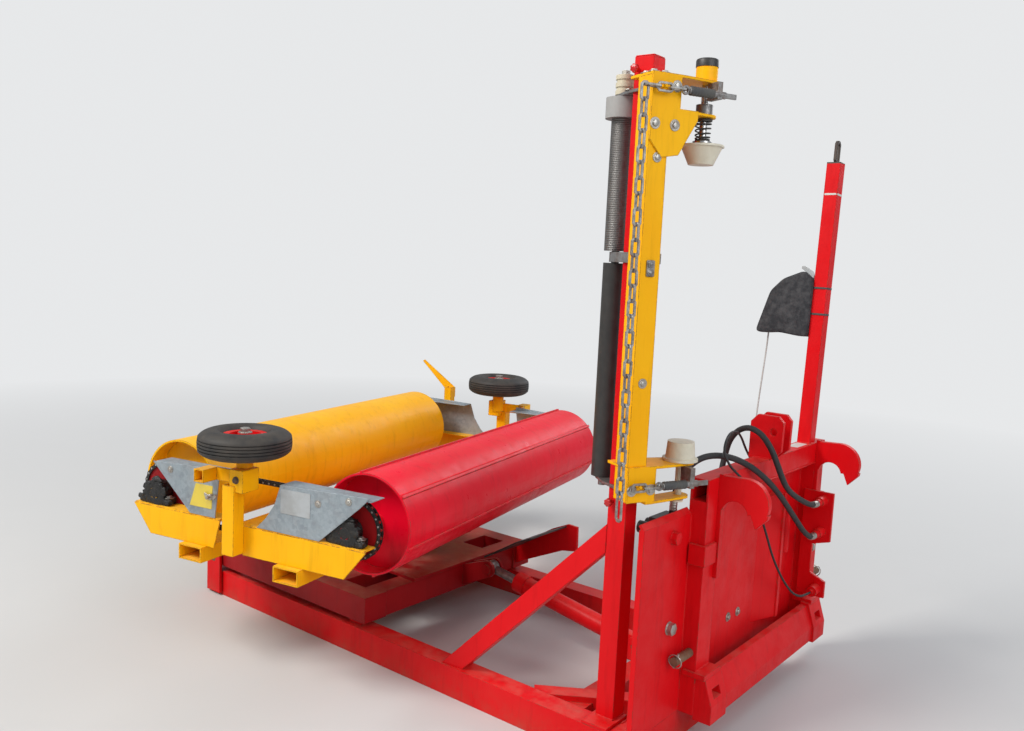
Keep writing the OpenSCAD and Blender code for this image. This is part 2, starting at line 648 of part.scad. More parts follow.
module drum_bearings() color([0.10, 0.09, 0.09]) table() both_ends() for (side = [-1, 1])
    translate([side * drum_pitch / 2, -panel_y + bearing_in, drum_z]) difference() {
        union() {
            pin_y(80, bearing_w);
            translate([-60, -bearing_w / 2, shelf_top - drum_z]) cube([120, bearing_w, 24]);
        }
        pin_y(shaft_d + 0.1, 80);
        translate([-100, -50, shelf_top - drum_z - 100]) cube([200, 100, 100]);
    }
shaft_d = 40;
bearing_w = 46;
bearing_in = 32;
sprocket_y = 868;
teeth = 24;
run_links = 33;
roller_chain_pitch = drum_pitch / run_links;
sprocket_r = roller_chain_pitch / 2 / sin(180 / teeth);
tooth_t = 8;
side_plate_t = 4;
side_plate_out = tooth_t / 2 + 1.5 + side_plate_t / 2;
chain_roller_d = 11.6;
function arc_half(r, wave, steps) = [for (j = [0 : steps]) (r + (j % 2 == 0 ? wave : 0))
    * [sin(180 * j / steps), cos(180 * j / steps)] + [drum_pitch / 2, 0]];
module chain_loop(r, wave, steps)
    polygon(concat(arc_half(r, wave, steps), [for (p = arc_half(r, wave, steps)) -p]));
// Side plates on both sides of the teeth, with rollers between them along the straight runs
module drum_chain() color([0.14, 0.12, 0.11]) table()
    translate([0, -sprocket_y, drum_z]) rotate([90, 0, 0]) {
    translate([0, 0, side_plate_out]) linear_extrude(side_plate_t, center = true) difference() {
        chain_loop(sprocket_r + 4, 3.5, teeth);
        chain_loop(sprocket_r - 6.5, 0, teeth / 2);
    }
    translate([0, 0, -side_plate_out]) linear_extrude(side_plate_t, center = true) difference() {
        chain_loop(sprocket_r + 6.5, 0, teeth / 2);
        chain_loop(sprocket_r - 6.5, 0, teeth / 2);
    }
    for (side = [-1, 1]) for (link = [3 : 3 : run_links - 3])
        translate([link * roller_chain_pitch - drum_pitch / 2, side * sprocket_r, 0])
            cylinder(d = chain_roller_d, h = 2 * side_plate_out, center = true, $fn = 6);
}
tooth = [[sprocket_r - 6.3, -4.5], [sprocket_r + 6, -2], [sprocket_r + 6, 2], [sprocket_r - 6.3, 4.5]];
module sprocket() translate([0, -sprocket_y, 0]) rotate([90, 0, 0])
    linear_extrude(tooth_t, center = true) difference() {
        polygon([for (k = [0 : teeth - 1]) for (p = tooth) p[0] * [cos((k + 0.5) * 360 / teeth + p[1]),
            sin((k + 0.5) * 360 / teeth + p[1])]]);
        circle(d = shaft_d + 0.2, $fn = 48);
    }
catcher_x = panel_len / 2 - 180;
module film_catcher() color([0.93, 0.62, 0.02]) table() translate([-catcher_x, panel_y, 0]) {
    translate([0, 0, panel_z]) tube_z(340, 40, 40, 4);
    translate([20, 43, 0]) plate_xz(6) polygon([[-20, 760], [20, 740], [20, 790], [-175, 922], [-185, 915]]);
}

drum_recess = 65;
rib_count = 6;
rib_h = 6;
module drum_shell() {
    difference() {
        pin_y(drum_d, drum_len);
        for (side = [-1, 1]) translate([0, side * drum_len / 2, 0])
            pin_y(drum_d - 2 * drum_t, 2 * drum_recess);
    }
    pin_y(shaft_d, panel_span - 2 * panel_t - 4);
}
module drum_ribs() for (k = [0 : rib_count - 1]) rotate([0, k * 360 / rib_count + 50, 0])
    translate([-5, -drum_len / 2, drum_r - 3]) cube([10, drum_len, rib_h + 3]);
module rear_drum() color([0.93, 0.62, 0.02]) table() translate([-drum_pitch / 2, 0, drum_z]) drum_shell();
module front_drum() color([0.85, 0.04, 0.08]) table() translate([drum_pitch / 2, 0, drum_z]) {
    drum_shell();
    drum_ribs();
}
module rear_sprocket() color([0.35, 0.04, 0.05]) table() translate([-drum_pitch / 2, 0, drum_z]) sprocket();
module front_sprocket() color([0.35, 0.04, 0.05]) table() translate([drum_pitch / 2, 0, drum_z]) sprocket();

axle_d = 20;
module wheel_place(side) table() translate([0, side * wheel_span / 2, wheel_z]) children();
rim_seat_r = 66;
module wheel_rim() rotate_extrude($fn = 64) polygon([[axle_d / 2 + 0.05, -34], [25, -34], [25, -6],
    [52, -6], [52, -30], [rim_seat_r + 8, -30], [rim_seat_r + 8, -26], [rim_seat_r, -26],
    [rim_seat_r, 26], [rim_seat_r + 8, 26], [rim_seat_r + 8, 30], [52, 30], [52, 6], [25, 6],
    [25, 34], [axle_d / 2 + 0.05, 34]]);
tyre_steps = 40;
bead_r = rim_seat_r + 8.5;
tyre_profile = [[rim_seat_r + seat_gap, -25.5], [bead_r, -25.5], [90, -wheel_w / 2], [wheel_d / 2, -30],
    [wheel_d / 2, 30], [90, wheel_w / 2], [bead_r, 25.5], [rim_seat_r + seat_gap, 25.5]];
// The profile at each step round the axle, and two triangles between each pair of edges
function tyre_points() = [for (i = [0 : tyre_steps - 1]) for (p = tyre_profile)
    [p[0] * cos(360 * i / tyre_steps), p[0] * sin(360 * i / tyre_steps), p[1]]];
function two_triangles(a, b, j, k) = [[a + j, a + k, b + j], [a + k, b + k, b + j]];
module wheel_tyre() let (n = len(tyre_profile)) polyhedron(tyre_points(),
    [for (i = [0 : tyre_steps - 1]) for (j = [0 : n - 1])
        each two_triangles(i * n, (i + 1) % tyre_steps * n, j, (j + 1) % n)]);
module near_wheel_rim() color([0.75, 0.05, 0.05]) wheel_place(-1) wheel_rim();
module near_wheel_tyre() color([0.08, 0.08, 0.08]) wheel_place(-1) wheel_tyre();
module far_wheel_rim() color([0.75, 0.05, 0.05]) wheel_place(1) wheel_rim();
module far_wheel_tyre() color([0.08, 0.08, 0.08]) wheel_place(1) wheel_tyre();

// The valve block behind the near plate, the junction box behind the panel, and the rack on the far column
valve_w = 76;
valve_len = 105;
valve_h = 100;
valve_end = [1455, -225, 690];
valve_port = [1455, -245, 736];
coil_len = 48;
port_d = 28;
port_h = 12;
module valve_block() {
    translate([column_x - valve_w, valve_end[1] - valve_len, valve_port[2] - valve_h])
        cube([valve_w, valve_len, valve_h]);
    translate(valve_port - [0, 0, 1]) cylinder(d = port_d, h = port_h + 1, $fn = 6);
    translate(valve_end - [0, 1, 0]) rotate([-90, 0, 0]) cylinder(d = port_d, h = port_h + 1, $fn = 6);
    for (y = [-30, -75]) translate([column_x - valve_w - coil_len, valve_end[1] + y, valve_end[2]])
        rotate([0, 90, 0]) cylinder(d = 38, h = coil_len + 1, $fn = 32);
}
box_gland = [1470, 540, 700];
side_gland = [1470, 490, 750];
module junction_box() {
    translate([column_x - 50, side_gland[1], box_gland[2]]) cube([50, 90, 80]);
    translate(box_gland - [0, 0, port_h]) cylinder(d = 15, h = port_h + 1, $fn = 24);
    translate(side_gland - [0, port_h, 0]) rotate([-90, 0, 0]) cylinder(d = 17, h = port_h + 1, $fn = 24);
}
module control_blocks() color([0.22, 0.22, 0.23]) machine() {
    valve_block();
    junction_box();
}
rack_y = hitch_y + column_in;
rack_t = 12;
coupler_len = rack_y - rack_t - 590;
coupler_at = [[1605, 524], [1605, 645]];
plug_at = [1604, 300];
module coupler_rack() color([0.45, 0.45, 0.44]) machine() {
    translate([0, rack_y - rack_t / 2, 0]) plate_xz(rack_t) polygon([[1530, 270], [1636, 270], [1636, 332],
        [1576, 360], [1576, 470], [1642, 490], [1642, 676], [1530, 676]]);
    for (at = coupler_at) translate([at[0], rack_y - rack_t - coupler_len, at[1]]) rotate([-90, 0, 0]) {
        cylinder(d = 27, h = coupler_len, $fn = 32);
        translate([0, 0, coupler_len - 45]) cylinder(d = 36, h = 46, $fn = 32);
        translate([0, 0, coupler_len]) cylinder(d = 30, h = rack_t + 24, $fn = 32);
    }
    translate([plug_at[0], 600, plug_at[1]]) rotate([-90, 0, 0]) {
        cylinder(d = 18, h = rack_y - rack_t - 600, $fn = 24);
        translate([0, 0, 12]) cylinder(d = 40, h = rack_y - rack_t - 612, $fn = 32);
    }
}
// Hoses and cables: the points that the middle line passes
hose_d = 20;
cable_d = 8;
bag_cable_d = 6;
hose_a_route = [[1455, -245, 748], [1455, -245, 766], [1456, -239, 805], [1461, -216, 851],
    [1472, -178, 884], [1489, -130, 903], [1512, -76, 905], [1538, -19, 892], [1564, 38, 866],
    [1584, 95, 831], [1597, 154, 791], [1603, 217, 747], [1605, 282, 701], [1605, 349, 653],
    [1605, 417, 604], [1605, 481, 561], [1605, 538, 532], [1605, 574, 524], [1605, 590, 524]];
hose_b_route = [[1455, -213, 690], [1455, -197, 690], [1450, -133, 684], [1436, -44, 667],
    [1423, 32, 662], [1412, 99, 680], [1404, 153, 719], [1399, 191, 777], [1402, 209, 843],
    [1419, 206, 903], [1456, 190, 946], [1505, 170, 963], [1555, 152, 949], [1593, 146, 909],
    [1613, 160, 858], [1617, 199, 809], [1611, 265, 762], [1606, 344, 722], [1605, 431, 686],
    [1605, 518, 655], [1605, 574, 645], [1605, 590, 645]];
plug_cable_route = [[1470, 478, 750], [1470, 466, 750], [1465, 403, 761], [1457, 337, 804],
    [1456, 263, 867], [1466, 192, 921], [1482, 118, 952], [1500, 32, 963], [1520, -43, 951],
    [1536, -84, 921], [1558, -83, 881], [1578, -35, 836], [1587, 34, 773], [1590, 102, 700],
    [1592, 163, 619], [1594, 222, 536], [1596, 287, 462], [1598, 361, 394], [1600, 437, 340],
    [1602, 513, 309], [1604, 588, 300], [1604, 600, 300]];
bag_cable_route = [[1330, 674, 1257], [1330, 673, 1240], [1326, 672, 1165], [1319, 671, 1066],
    [1312, 671, 968], [1308, 669, 869], [1309, 666, 777], [1319, 655, 697], [1342, 636, 644],
    [1382, 599, 612], [1425, 566, 610], [1460, 544, 637], [1470, 540, 676], [1470, 540, 688]];
function unit(v) = v / norm(v);
function headings(p) = [for (i = [0 : len(p) - 1]) unit(p[min(i + 1, len(p) - 1)] - p[max(i - 1, 0)])];
function across(t, i = 0, last = [0.3, 0.5, 0.1], made = []) = i == len(t) ? made :
    let (u = unit(last - t[i] * (last * t[i]))) across(t, i + 1, u, concat(made, [u]));
function tube_points(p, r, n) = let (t = headings(p), u = across(t)) [for (i = [0 : len(p) - 1])
    for (k = [0 : n - 1]) p[i] + r * (u[i] * cos(360 * k / n) + cross(t[i], u[i]) * sin(360 * k / n))];
function tube_faces(rings, n) = concat([[for (k = [0 : n - 1]) k]],
    [[for (k = [n - 1 : -1 : 0]) (rings - 1) * n + k]],
    [for (i = [0 : rings - 2]) for (k = [0 : n - 1]) each [[i * n + k, i * n + n + k, i * n + (k + 1) % n],
        [i * n + (k + 1) % n, i * n + n + k, i * n + n + (k + 1) % n]]]);
module cord(route, d, n) machine() polyhedron(tube_points(route, d / 2, n), tube_faces(len(route), n));
module hose_a() color([0.04, 0.04, 0.04]) cord(hose_a_route, hose_d, 10);
module hose_b() color([0.04, 0.04, 0.04]) cord(hose_b_route, hose_d, 10);
module plug_cable() color([0.04, 0.04, 0.04]) cord(plug_cable_route, cable_d, 8);
module bag_cable() color([0.75, 0.74, 0.70]) cord(bag_cable_route, bag_cable_d, 8);

main_frame();
hitch_wall();
lifting_hooks();
link_pins();
film_post();
film_carrier();
film_plates();
roller_plates();
roller_a();
roller_b();
upper_film_cone();
cone_spindle();
lower_film_cone();
hang_chain();
bag_post();
control_bag();
tilt_barrel();
tilt_rod();
tilt_frame();
table_pedestal();
table_motor();
table_frame();
end_panels();
chain_covers();
wheel_masts();
drum_bearings();
drum_chain();
film_catcher();
rear_drum();
front_drum();
rear_sprocket();
front_sprocket();
near_wheel_rim();
near_wheel_tyre();
far_wheel_rim();
far_wheel_tyre();
film_levers();
table_guard();
guard_sheet();
control_blocks();
coupler_rack();
hose_a();
hose_b();
plug_cable();
bag_cable();
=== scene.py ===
import math

import bpy
import numpy as np
from mathutils import Matrix


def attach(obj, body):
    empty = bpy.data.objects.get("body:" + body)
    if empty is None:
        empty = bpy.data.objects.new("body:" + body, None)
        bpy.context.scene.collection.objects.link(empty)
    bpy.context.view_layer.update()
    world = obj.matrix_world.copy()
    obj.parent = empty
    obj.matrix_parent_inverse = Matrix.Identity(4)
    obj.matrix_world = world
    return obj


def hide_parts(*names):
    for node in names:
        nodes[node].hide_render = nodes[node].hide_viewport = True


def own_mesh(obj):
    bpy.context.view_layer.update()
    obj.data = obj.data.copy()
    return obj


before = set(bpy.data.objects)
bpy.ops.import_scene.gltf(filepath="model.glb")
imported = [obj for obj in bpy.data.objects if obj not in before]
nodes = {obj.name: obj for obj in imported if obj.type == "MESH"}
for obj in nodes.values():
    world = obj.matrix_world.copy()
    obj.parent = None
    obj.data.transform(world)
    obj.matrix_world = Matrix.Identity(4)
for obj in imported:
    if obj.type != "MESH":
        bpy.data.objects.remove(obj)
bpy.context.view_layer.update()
scene = bpy.context.scene
print("frame loaded:", len(nodes), "CAD nodes")

# places: millimetres of the machine to metres of the part, angles in degrees
places = dict(shiftX=487.773, park=12.0, postX=1369.0, postY=-404.0, yaw=25.0,
              bagX=1522.0, bagY=650.0, bagZ=856.0, bagLean=3.5)


def turned(points, degrees):  # turns about Z: x' = x cos a - y sin a, y' = x sin a + y cos a
    a = math.radians(degrees)
    x, y, z = np.asarray(points, float).reshape(-1, 3).T
    return np.stack([x * math.cos(a) - y * math.sin(a), x * math.sin(a) + y * math.cos(a), z], 1)


def onMachine(points):  # moves the table's axis to its place, then millimetres to metres
    return (np.asarray(points, float).reshape(-1, 3) - [places["shiftX"], 0, 0]) / 1000


def onTable(points):  # the table is parked at an angle
    return onMachine(turned(points, places["park"]))


def onDispenser(points):  # the dispenser is swung about its post
    return onMachine(turned(points, -places["yaw"]) + [places["postX"], places["postY"], 0])


def onBagPost(points):  # the post leans outwards: turned about X at its foot
    a = math.radians(places["bagLean"])
    x, y, z = np.asarray(points, float).reshape(-1, 3).T
    leaned = np.stack([x, y * math.cos(a) + z * math.sin(a), z * math.cos(a) - y * math.sin(a)], 1)
    return onMachine(leaned + [places["bagX"], places["bagY"], places["bagZ"]])


# camera: place in metres, angles in degrees, lens and sensor in millimetres
cameraSet = dict(place=(2.26883, -2.7273, 1.5013), yaw=-38.3, pitch=-6.8, roll=2.7, lens=32.22, sensor=36.0,
                 near=0.05, far=200)


def standing(right, up, back, place):  # the matrix of something at a place, from its three axes
    return Matrix([*zip(right, up, back, place), (0, 0, 0, 1)])


def makeCamera(s):  # looks along yaw and pitch, then rolls about that line
    yaw, pitch, roll = (math.radians(s[key]) for key in ("yaw", "pitch", "roll"))
    ahead = np.array([math.sin(yaw) * math.cos(pitch), math.cos(yaw) * math.cos(pitch), math.sin(pitch)])
    level = np.array([math.cos(yaw), -math.sin(yaw), 0.0])
    above = np.cross(level, ahead)
    right = level * math.cos(roll) + above * math.sin(roll)
    up = above * math.cos(roll) - level * math.sin(roll)
    data = bpy.data.cameras.new("camera")
    data.lens, data.sensor_width, data.sensor_fit = s["lens"], s["sensor"], "HORIZONTAL"
    data.clip_start, data.clip_end = s["near"], s["far"]
    cam = bpy.data.objects.new("camera", data)
    scene.collection.objects.link(cam)
    cam.matrix_world = standing(right, up, -ahead, s["place"])
    scene.camera = cam


makeCamera(cameraSet)

# shapes as arrays: each gives (points, faces) in millimetres


def joined(parts):  # one mesh from several, each one's faces moved on by the points before it
    points, faces, start = [], [], 0
    for own, ownFaces in parts:
        points.append(np.asarray(own, float))
        faces += [[i + start for i in face] for face in ownFaces]
        start += len(own)
    return np.vstack(points), faces


def gridFaces(rows, cols):  # quads between row i and i+1, column j and j+1, the last column back to the first
    i, j = np.meshgrid(np.arange(rows - 1), np.arange(cols), indexing="ij")
    here, above, after = i * cols, (i + 1) * cols, (j + 1) % cols
    return np.stack([here + j, here + after, above + after, above + j], -1).reshape(-1, 4).tolist()


def loopFaces(rows, cols):  # as gridFaces, with the last row back to the first
    last = (rows - 1) * cols
    return gridFaces(rows, cols) + [[last + j, last + (j + 1) % cols, (j + 1) % cols, j] for j in range(cols)]


def endCaps(rows, cols):  # one face over the first row, turned over, and one over the last row
    return [list(range(cols))[::-1], list(range((rows - 1) * cols, rows * cols))]


def anglesRound(count, start=0.0):  # equal steps of one full turn
    return np.linspace(start, start + 2 * math.pi, count, endpoint=False)


def frameOf(axis):  # two unit vectors square to the axis, then the axis as a unit vector
    w = np.asarray(axis, float) / np.linalg.norm(axis)
    u = np.cross([0, 0, 1] if abs(w[2]) < 0.9 else [1, 0, 0], w)
    u /= np.linalg.norm(u)
    return u, np.cross(w, u), w


def turnedProfile(profile, centre, axis, sides):
    # each ring of the profile (radius, height) is centre + height*axis + radius*(cos t, sin t)
    radius, height = np.asarray(profile, float).T
    u, v, w = frameOf(axis)
    t = anglesRound(sides)
    around = np.cos(t)[:, None] * u + np.sin(t)[:, None] * v
    points = np.asarray(centre, float) + height[:, None, None] * w + radius[:, None, None] * around
    faces = gridFaces(len(radius), sides)
    firstCap, lastCap = endCaps(len(radius), sides)
    if radius[0] > 0:
        faces.append(firstCap)
    if radius[-1] > 0:
        faces.append(lastCap)
    return points.reshape(-1, 3), faces


def turnedLoop(profile, centre, axis, sides):  # as turnedProfile, for a closed profile clear of the axis
    points, _ = turnedProfile(profile, centre, axis, sides)
    return points, loopFaces(len(profile), sides)


def tubeAlong(path, radius, sides):
    # a ring of that radius about each point of the path, turned as little as can be from one to the next
    path = np.asarray(path, float)
    radius = np.broadcast_to(np.asarray(radius, float), (len(path),))
    tangent = np.gradient(path, axis=0)
    tangent /= np.linalg.norm(tangent, axis=1)[:, None]
    u = frameOf(tangent[0])[0]
    across = []
    for step in tangent:
        u = u - step * (u @ step)
        u /= np.linalg.norm(u)
        across.append(u)
    across = np.array(across)
    other = np.cross(tangent, across)
    t = anglesRound(sides)
    ring = np.cos(t)[None, :, None] * across[:, None] + np.sin(t)[None, :, None] * other[:, None]
    points = path[:, None] + radius[:, None, None] * ring
    return points.reshape(-1, 3), gridFaces(len(path), sides) + endCaps(len(path), sides)


def plate(outline, thick, centre, along, up):
    # an outline in the plane of along and up, carried half its thickness to each side
    outline, along, up = (np.asarray(value, float) for value in (outline, along, up))
    flat = np.asarray(centre, float) + outline[:, 0, None] * along + outline[:, 1, None] * up
    half = np.cross(along, up) * thick / 2
    count = len(outline)
    return np.vstack([flat - half, flat + half]), endCaps(2, count) + gridFaces(2, count)


def upright(outline, thick, centre):  # a plate whose outline runs along X and up
    return plate(outline, thick, centre, (1, 0, 0), (0, 0, 1))


def lying(outline, thick, centre):  # a plate whose outline runs along X and Y
    return plate(outline, thick, centre, (1, 0, 0), (0, 1, 0))


def roundedPlate(wide, tall, r, steps=5):  # an outline with corners of radius r, counterclockwise
    out = []
    for cx, cy, start in ((1, -1, -90), (1, 1, 0), (-1, 1, 90), (-1, -1, 180)):
        for t in np.radians(start + np.linspace(0, 90, steps)):
            out.append((cx * (wide / 2 - r) + r * math.cos(t), cy * (tall / 2 - r) + r * math.sin(t)))
    return out


def smoothPath(knots, steps):  # a curve through the knots, each span a cubic of the four knots about it
    knots = np.asarray(knots, float)
    knots = np.vstack([2 * knots[0] - knots[1], knots, 2 * knots[-1] - knots[-2]])
    t = np.linspace(0, 1, steps, endpoint=False)[:, None]
    spans = []
    for a, b, c, d in zip(knots, knots[1:], knots[2:], knots[3:]):
        square, cube = 2 * a - 5 * b + 4 * c - d, 3 * b - a - 3 * c + d
        spans.append(0.5 * (2 * b + (c - a) * t + square * t ** 2 + cube * t ** 3))
    return np.vstack(spans + [knots[-2:-1]])


def piece(name, shape, material, body, place=onMachine, sharp=35.0, bevel=0.0):
    # edges that bend by more than sharp degrees stay hard; bevel is a rounded edge's width in millimetres
    points, faces = shape
    mesh = bpy.data.meshes.new(name)
    mesh.from_pydata(place(points).tolist(), [], faces)
    mesh.validate()
    mesh.shade_smooth()
    mesh.set_sharp_from_angle(angle=math.radians(sharp))
    mesh.materials.append(material)
    made = bpy.data.objects.new(name, mesh)
    scene.collection.objects.link(made)
    if bevel:
        edge = made.modifiers.new("edge", "BEVEL")
        edge.width, edge.segments, edge.limit_method = bevel / 1000, 2, "ANGLE"
    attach(made, body)
    return made


# finishes


class Shading:
    # a material's node tree, with short calls for its nodes
    sockets = dict(color="Base Color", rough="Roughness", metal="Metallic", coat="Coat Weight",
                   coatRough="Coat Roughness", specular="Specular IOR Level")
    mixA, mixB, mixOut = 6, 7, 2  # a mix node has its colour sockets by these numbers

    def __init__(self, name):
        self.material = bpy.data.materials.new(name)
        self.material.use_nodes = True
        self.tree = self.material.node_tree
        self.shader = next(node for node in self.tree.nodes if node.type == "BSDF_PRINCIPLED")
        self.place = self.node("ShaderNodeTexCoord").outputs["Object"]

    def node(self, kind, **values):
        made = self.tree.nodes.new(kind)
        for key, value in values.items():
            setattr(made, key, value)
        return made

    def join(self, source, target):
        self.tree.links.new(source, target)

    def noise(self, scale, detail=4.0, rough=0.6, place=None, distortion=0.0):  # cloudy values from 0 to 1
        made = self.node("ShaderNodeTexNoise")
        made.inputs["Scale"].default_value, made.inputs["Detail"].default_value = scale, detail
        made.inputs["Roughness"].default_value, made.inputs["Distortion"].default_value = rough, distortion
        self.join(place or self.place, made.inputs["Vector"])
        return made.outputs["Fac"]

    def stretched(self, scale):  # the pattern's coordinates, scaled differently along each axis
        made = self.node("ShaderNodeMapping")
        made.inputs["Scale"].default_value = scale
        self.join(self.place, made.inputs["Vector"])
        return made.outputs["Vector"]

    def between(self, value, low, high, out=(0.0, 1.0)):  # low..high becomes out[0]..out[1], held at the ends
        made = self.node("ShaderNodeMapRange", clamp=True)
        self.join(value, made.inputs["Value"])
        for key, number in (("From Min", low), ("From Max", high), ("To Min", out[0]), ("To Max", out[1])):
            made.inputs[key].default_value = number
        return made.outputs["Result"]

    def times(self, a, b, kind="MULTIPLY"):  # a times b, or the operation that kind names
        made = self.node("ShaderNodeMath", operation=kind)
        for target, value in zip(made.inputs, (a, b)):
            if isinstance(value, (int, float)):
                target.default_value = value
            else:
                self.join(value, target)
        return made.outputs["Value"]

    def mix(self, share, a, b):  # the colour a turns into b as share goes from 0 to 1
        made = self.node("ShaderNodeMix", data_type="RGBA")
        self.join(share, made.inputs["Factor"])
        for key, value in ((self.mixA, a), (self.mixB, b)):
            if isinstance(value, tuple):
                made.inputs[key].default_value = (*value, 1.0)
            else:
                self.join(value, made.inputs[key])
        return made.outputs[self.mixOut]

    def upPart(self, vector):  # the Z part of a vector
        made = self.node("ShaderNodeSeparateXYZ")
        self.join(vector, made.inputs["Vector"])
        return made.outputs["Z"]

    def height(self):  # above the ground, in metres
        return self.upPart(self.place)

    def facingUp(self):  # 1 where the surface faces straight up
        return self.upPart(self.node("ShaderNodeNewGeometry").outputs["Normal"])

    def edges(self, radius):  # 1 where the rounded normal leaves the flat one, which is along the edges
        soft = self.node("ShaderNodeBevel", samples=4)
        soft.inputs["Radius"].default_value = radius
        dot = self.node("ShaderNodeVectorMath", operation="DOT_PRODUCT")
        self.join(soft.outputs["Normal"], dot.inputs[0])
        self.join(self.node("ShaderNodeNewGeometry").outputs["Normal"], dot.inputs[1])
        self.softNormal = soft.outputs["Normal"]
        return self.between(dot.outputs["Value"], 0.995, 0.86)

    def bump(self, height, distance, strength):  # laid on the rounded normal that edges() has made
        made = self.node("ShaderNodeBump")
        made.inputs["Distance"].default_value, made.inputs["Strength"].default_value = distance, strength
        self.join(height, made.inputs["Height"])
        self.join(self.softNormal, made.inputs["Normal"])
        self.join(made.outputs["Normal"], self.shader.inputs["Normal"])

    def put(self, **values):  # each value goes to its socket of the shader, as a number, a colour or a link
        for key, value in values.items():
            target = self.shader.inputs[self.sockets[key]]
            if isinstance(value, tuple):
                target.default_value = (*value, 1.0)
            elif isinstance(value, (int, float)):
                target.default_value = value
            else:
                self.join(value, target)
        return self.material


wearSet = dict(fadeScale=2.3, streakScale=5.0, streakDark=0.62, dirtScale=16.0, dust=(0.42, 0.34, 0.25),
               mud=(0.20, 0.13, 0.08), mudScale=9.0, mudShare=0.35, edge=0.004, edgeScale=38.0,
               spotScale=24.0, scratchScale=7.0, rust=(0.13, 0.045, 0.02), rustScale=60.0,
               bareDark=(0.06, 0.05, 0.045), barePale=(0.16, 0.12, 0.10), coat=0.03, coatRough=0.25,
               specular=0.15)


def paint(name, base, faded, chip, dust, chipShare=0.55, mudTo=0.14, gloss=0.38, bareFrom=None):
    # base fades in cloudy patches and runs darker in streaks; chips at the edges, in spots and in scratches;
    # dust on what faces up; mud below mudTo; the steel is dark and bare above the height bareFrom
    w, s = wearSet, Shading(name)
    cloud = s.between(s.noise(w["fadeScale"], 3.0), 0.35, 0.68)
    color = s.mix(cloud, base, faded)
    runs = s.noise(w["streakScale"], 5.0, 0.7, s.stretched((6.0, 6.0, 0.7)))
    color = s.mix(s.between(runs, 0.52, 0.75, (0.0, 0.45)), color, tuple(w["streakDark"] * c for c in base))
    dirt = s.noise(w["dirtScale"], 6.0, 0.7)
    settled = s.times(s.between(s.facingUp(), 0.55, 0.98), s.between(dirt, 0.38, 0.7))
    color = s.mix(s.times(settled, dust), color, w["dust"])
    low = s.between(s.height(), mudTo, 0.0)
    splashed = s.times(s.times(low, low), s.between(s.noise(w["mudScale"], 7.0, 0.75), 0.36, 0.62))
    color = s.mix(s.times(splashed, w["mudShare"]), color, w["mud"])
    worn = s.between(s.noise(w["edgeScale"], 5.0, 0.7), 0.62 - 0.25 * chipShare, 0.68 - 0.2 * chipShare)
    worn = s.times(s.edges(w["edge"]), worn)
    spot = s.between(s.noise(w["spotScale"], 8.0, 0.75), 0.70, 0.725)
    thin = s.noise(w["scratchScale"], 6.0, 0.6, s.stretched((3.0, 3.0, 60.0)), 0.4)
    scratch = s.between(thin, 0.735, 0.75, (0.0, 0.7))
    chips = s.times(s.times(worn, spot, "MAXIMUM"), scratch, "MAXIMUM")
    color = s.mix(chips, color, s.mix(s.noise(w["rustScale"], 6.0, 0.8), chip, w["rust"]))
    if bareFrom:
        bare = s.mix(cloud, w["bareDark"], w["barePale"])
        color = s.mix(s.between(s.height(), bareFrom, bareFrom + 0.001), color, bare)
    rough = s.times(s.between(dirt, 0.3, 0.7, (gloss - 0.08, gloss + 0.2)), s.times(chips, 0.35), "ADD")
    peel = s.times(s.times(s.noise(220.0, 2.0), 0.12), s.times(s.noise(14.0, 3.0), 0.5), "ADD")
    s.bump(s.times(peel, chips, "SUBTRACT"), 0.0012, 0.35)
    return s.put(color=color, rough=rough, coat=w["coat"], coatRough=w["coatRough"], specular=w["specular"])


frameRed = dict(base=(0.64, 0.002, 0.005), faded=(0.72, 0.006, 0.010), chip=(0.20, 0.09, 0.06), dust=0.22)
redPaint = paint("redPaint", **frameRed)
bagPostPaint = paint("bagPostPaint", **frameRed, bareFrom=1.895)
darkRedPaint = paint("darkRedPaint", (0.26, 0.004, 0.007), (0.36, 0.01, 0.012), (0.16, 0.08, 0.05), dust=0.32)
drumRedPaint = paint("drumRedPaint", (0.76, 0.001, 0.016), (0.82, 0.003, 0.026), (0.25, 0.13, 0.1),
                     dust=0.10, chipShare=0.8, mudTo=0.0, gloss=0.32)
yellowPaint = paint("yellowPaint", (0.93, 0.42, 0.001), (0.96, 0.49, 0.005), (0.16, 0.09, 0.04),
                    dust=0.25, chipShare=0.75, mudTo=0.2)
drumYellowPaint = paint("drumYellowPaint", (0.94, 0.44, 0.001), (0.96, 0.50, 0.004), (0.26, 0.16, 0.08),
                        dust=0.15, chipShare=0.7, mudTo=0.0)

metalSet = dict(cellScale=75.0, cellPale=1.35, rust=(0.2, 0.075, 0.03), rustScale=21.0, edge=0.0025)


def bareMetal(name, base, dark, metal, roughRange, scale, rust, spangle=0.0):
    # two greys in patches, spangle as flat cells of other brightness, rust where the noise is high
    m, s = metalSet, Shading(name)
    color = s.mix(s.between(s.noise(scale, 5.0, 0.65), 0.35, 0.7), base, dark)
    if spangle:
        cells = s.node("ShaderNodeTexVoronoi")
        cells.inputs["Scale"].default_value = m["cellScale"]
        s.join(s.place, cells.inputs["Vector"])
        grey = s.node("ShaderNodeSeparateColor")
        s.join(cells.outputs["Color"], grey.inputs["Color"])
        pale = tuple(min(1, m["cellPale"] * c) for c in base)
        color = s.mix(s.times(grey.outputs["Red"], spangle), color, pale)
    patches = s.between(s.noise(m["rustScale"], 7.0, 0.75), 0.48, 0.62)
    color = s.mix(s.times(patches, rust), color, m["rust"])
    s.edges(m["edge"])
    fine = s.noise(130.0, 4.0)
    s.bump(fine, 0.0008, 0.3)
    return s.put(color=color, metal=metal, rough=s.between(fine, 0.3, 0.7, roughRange))


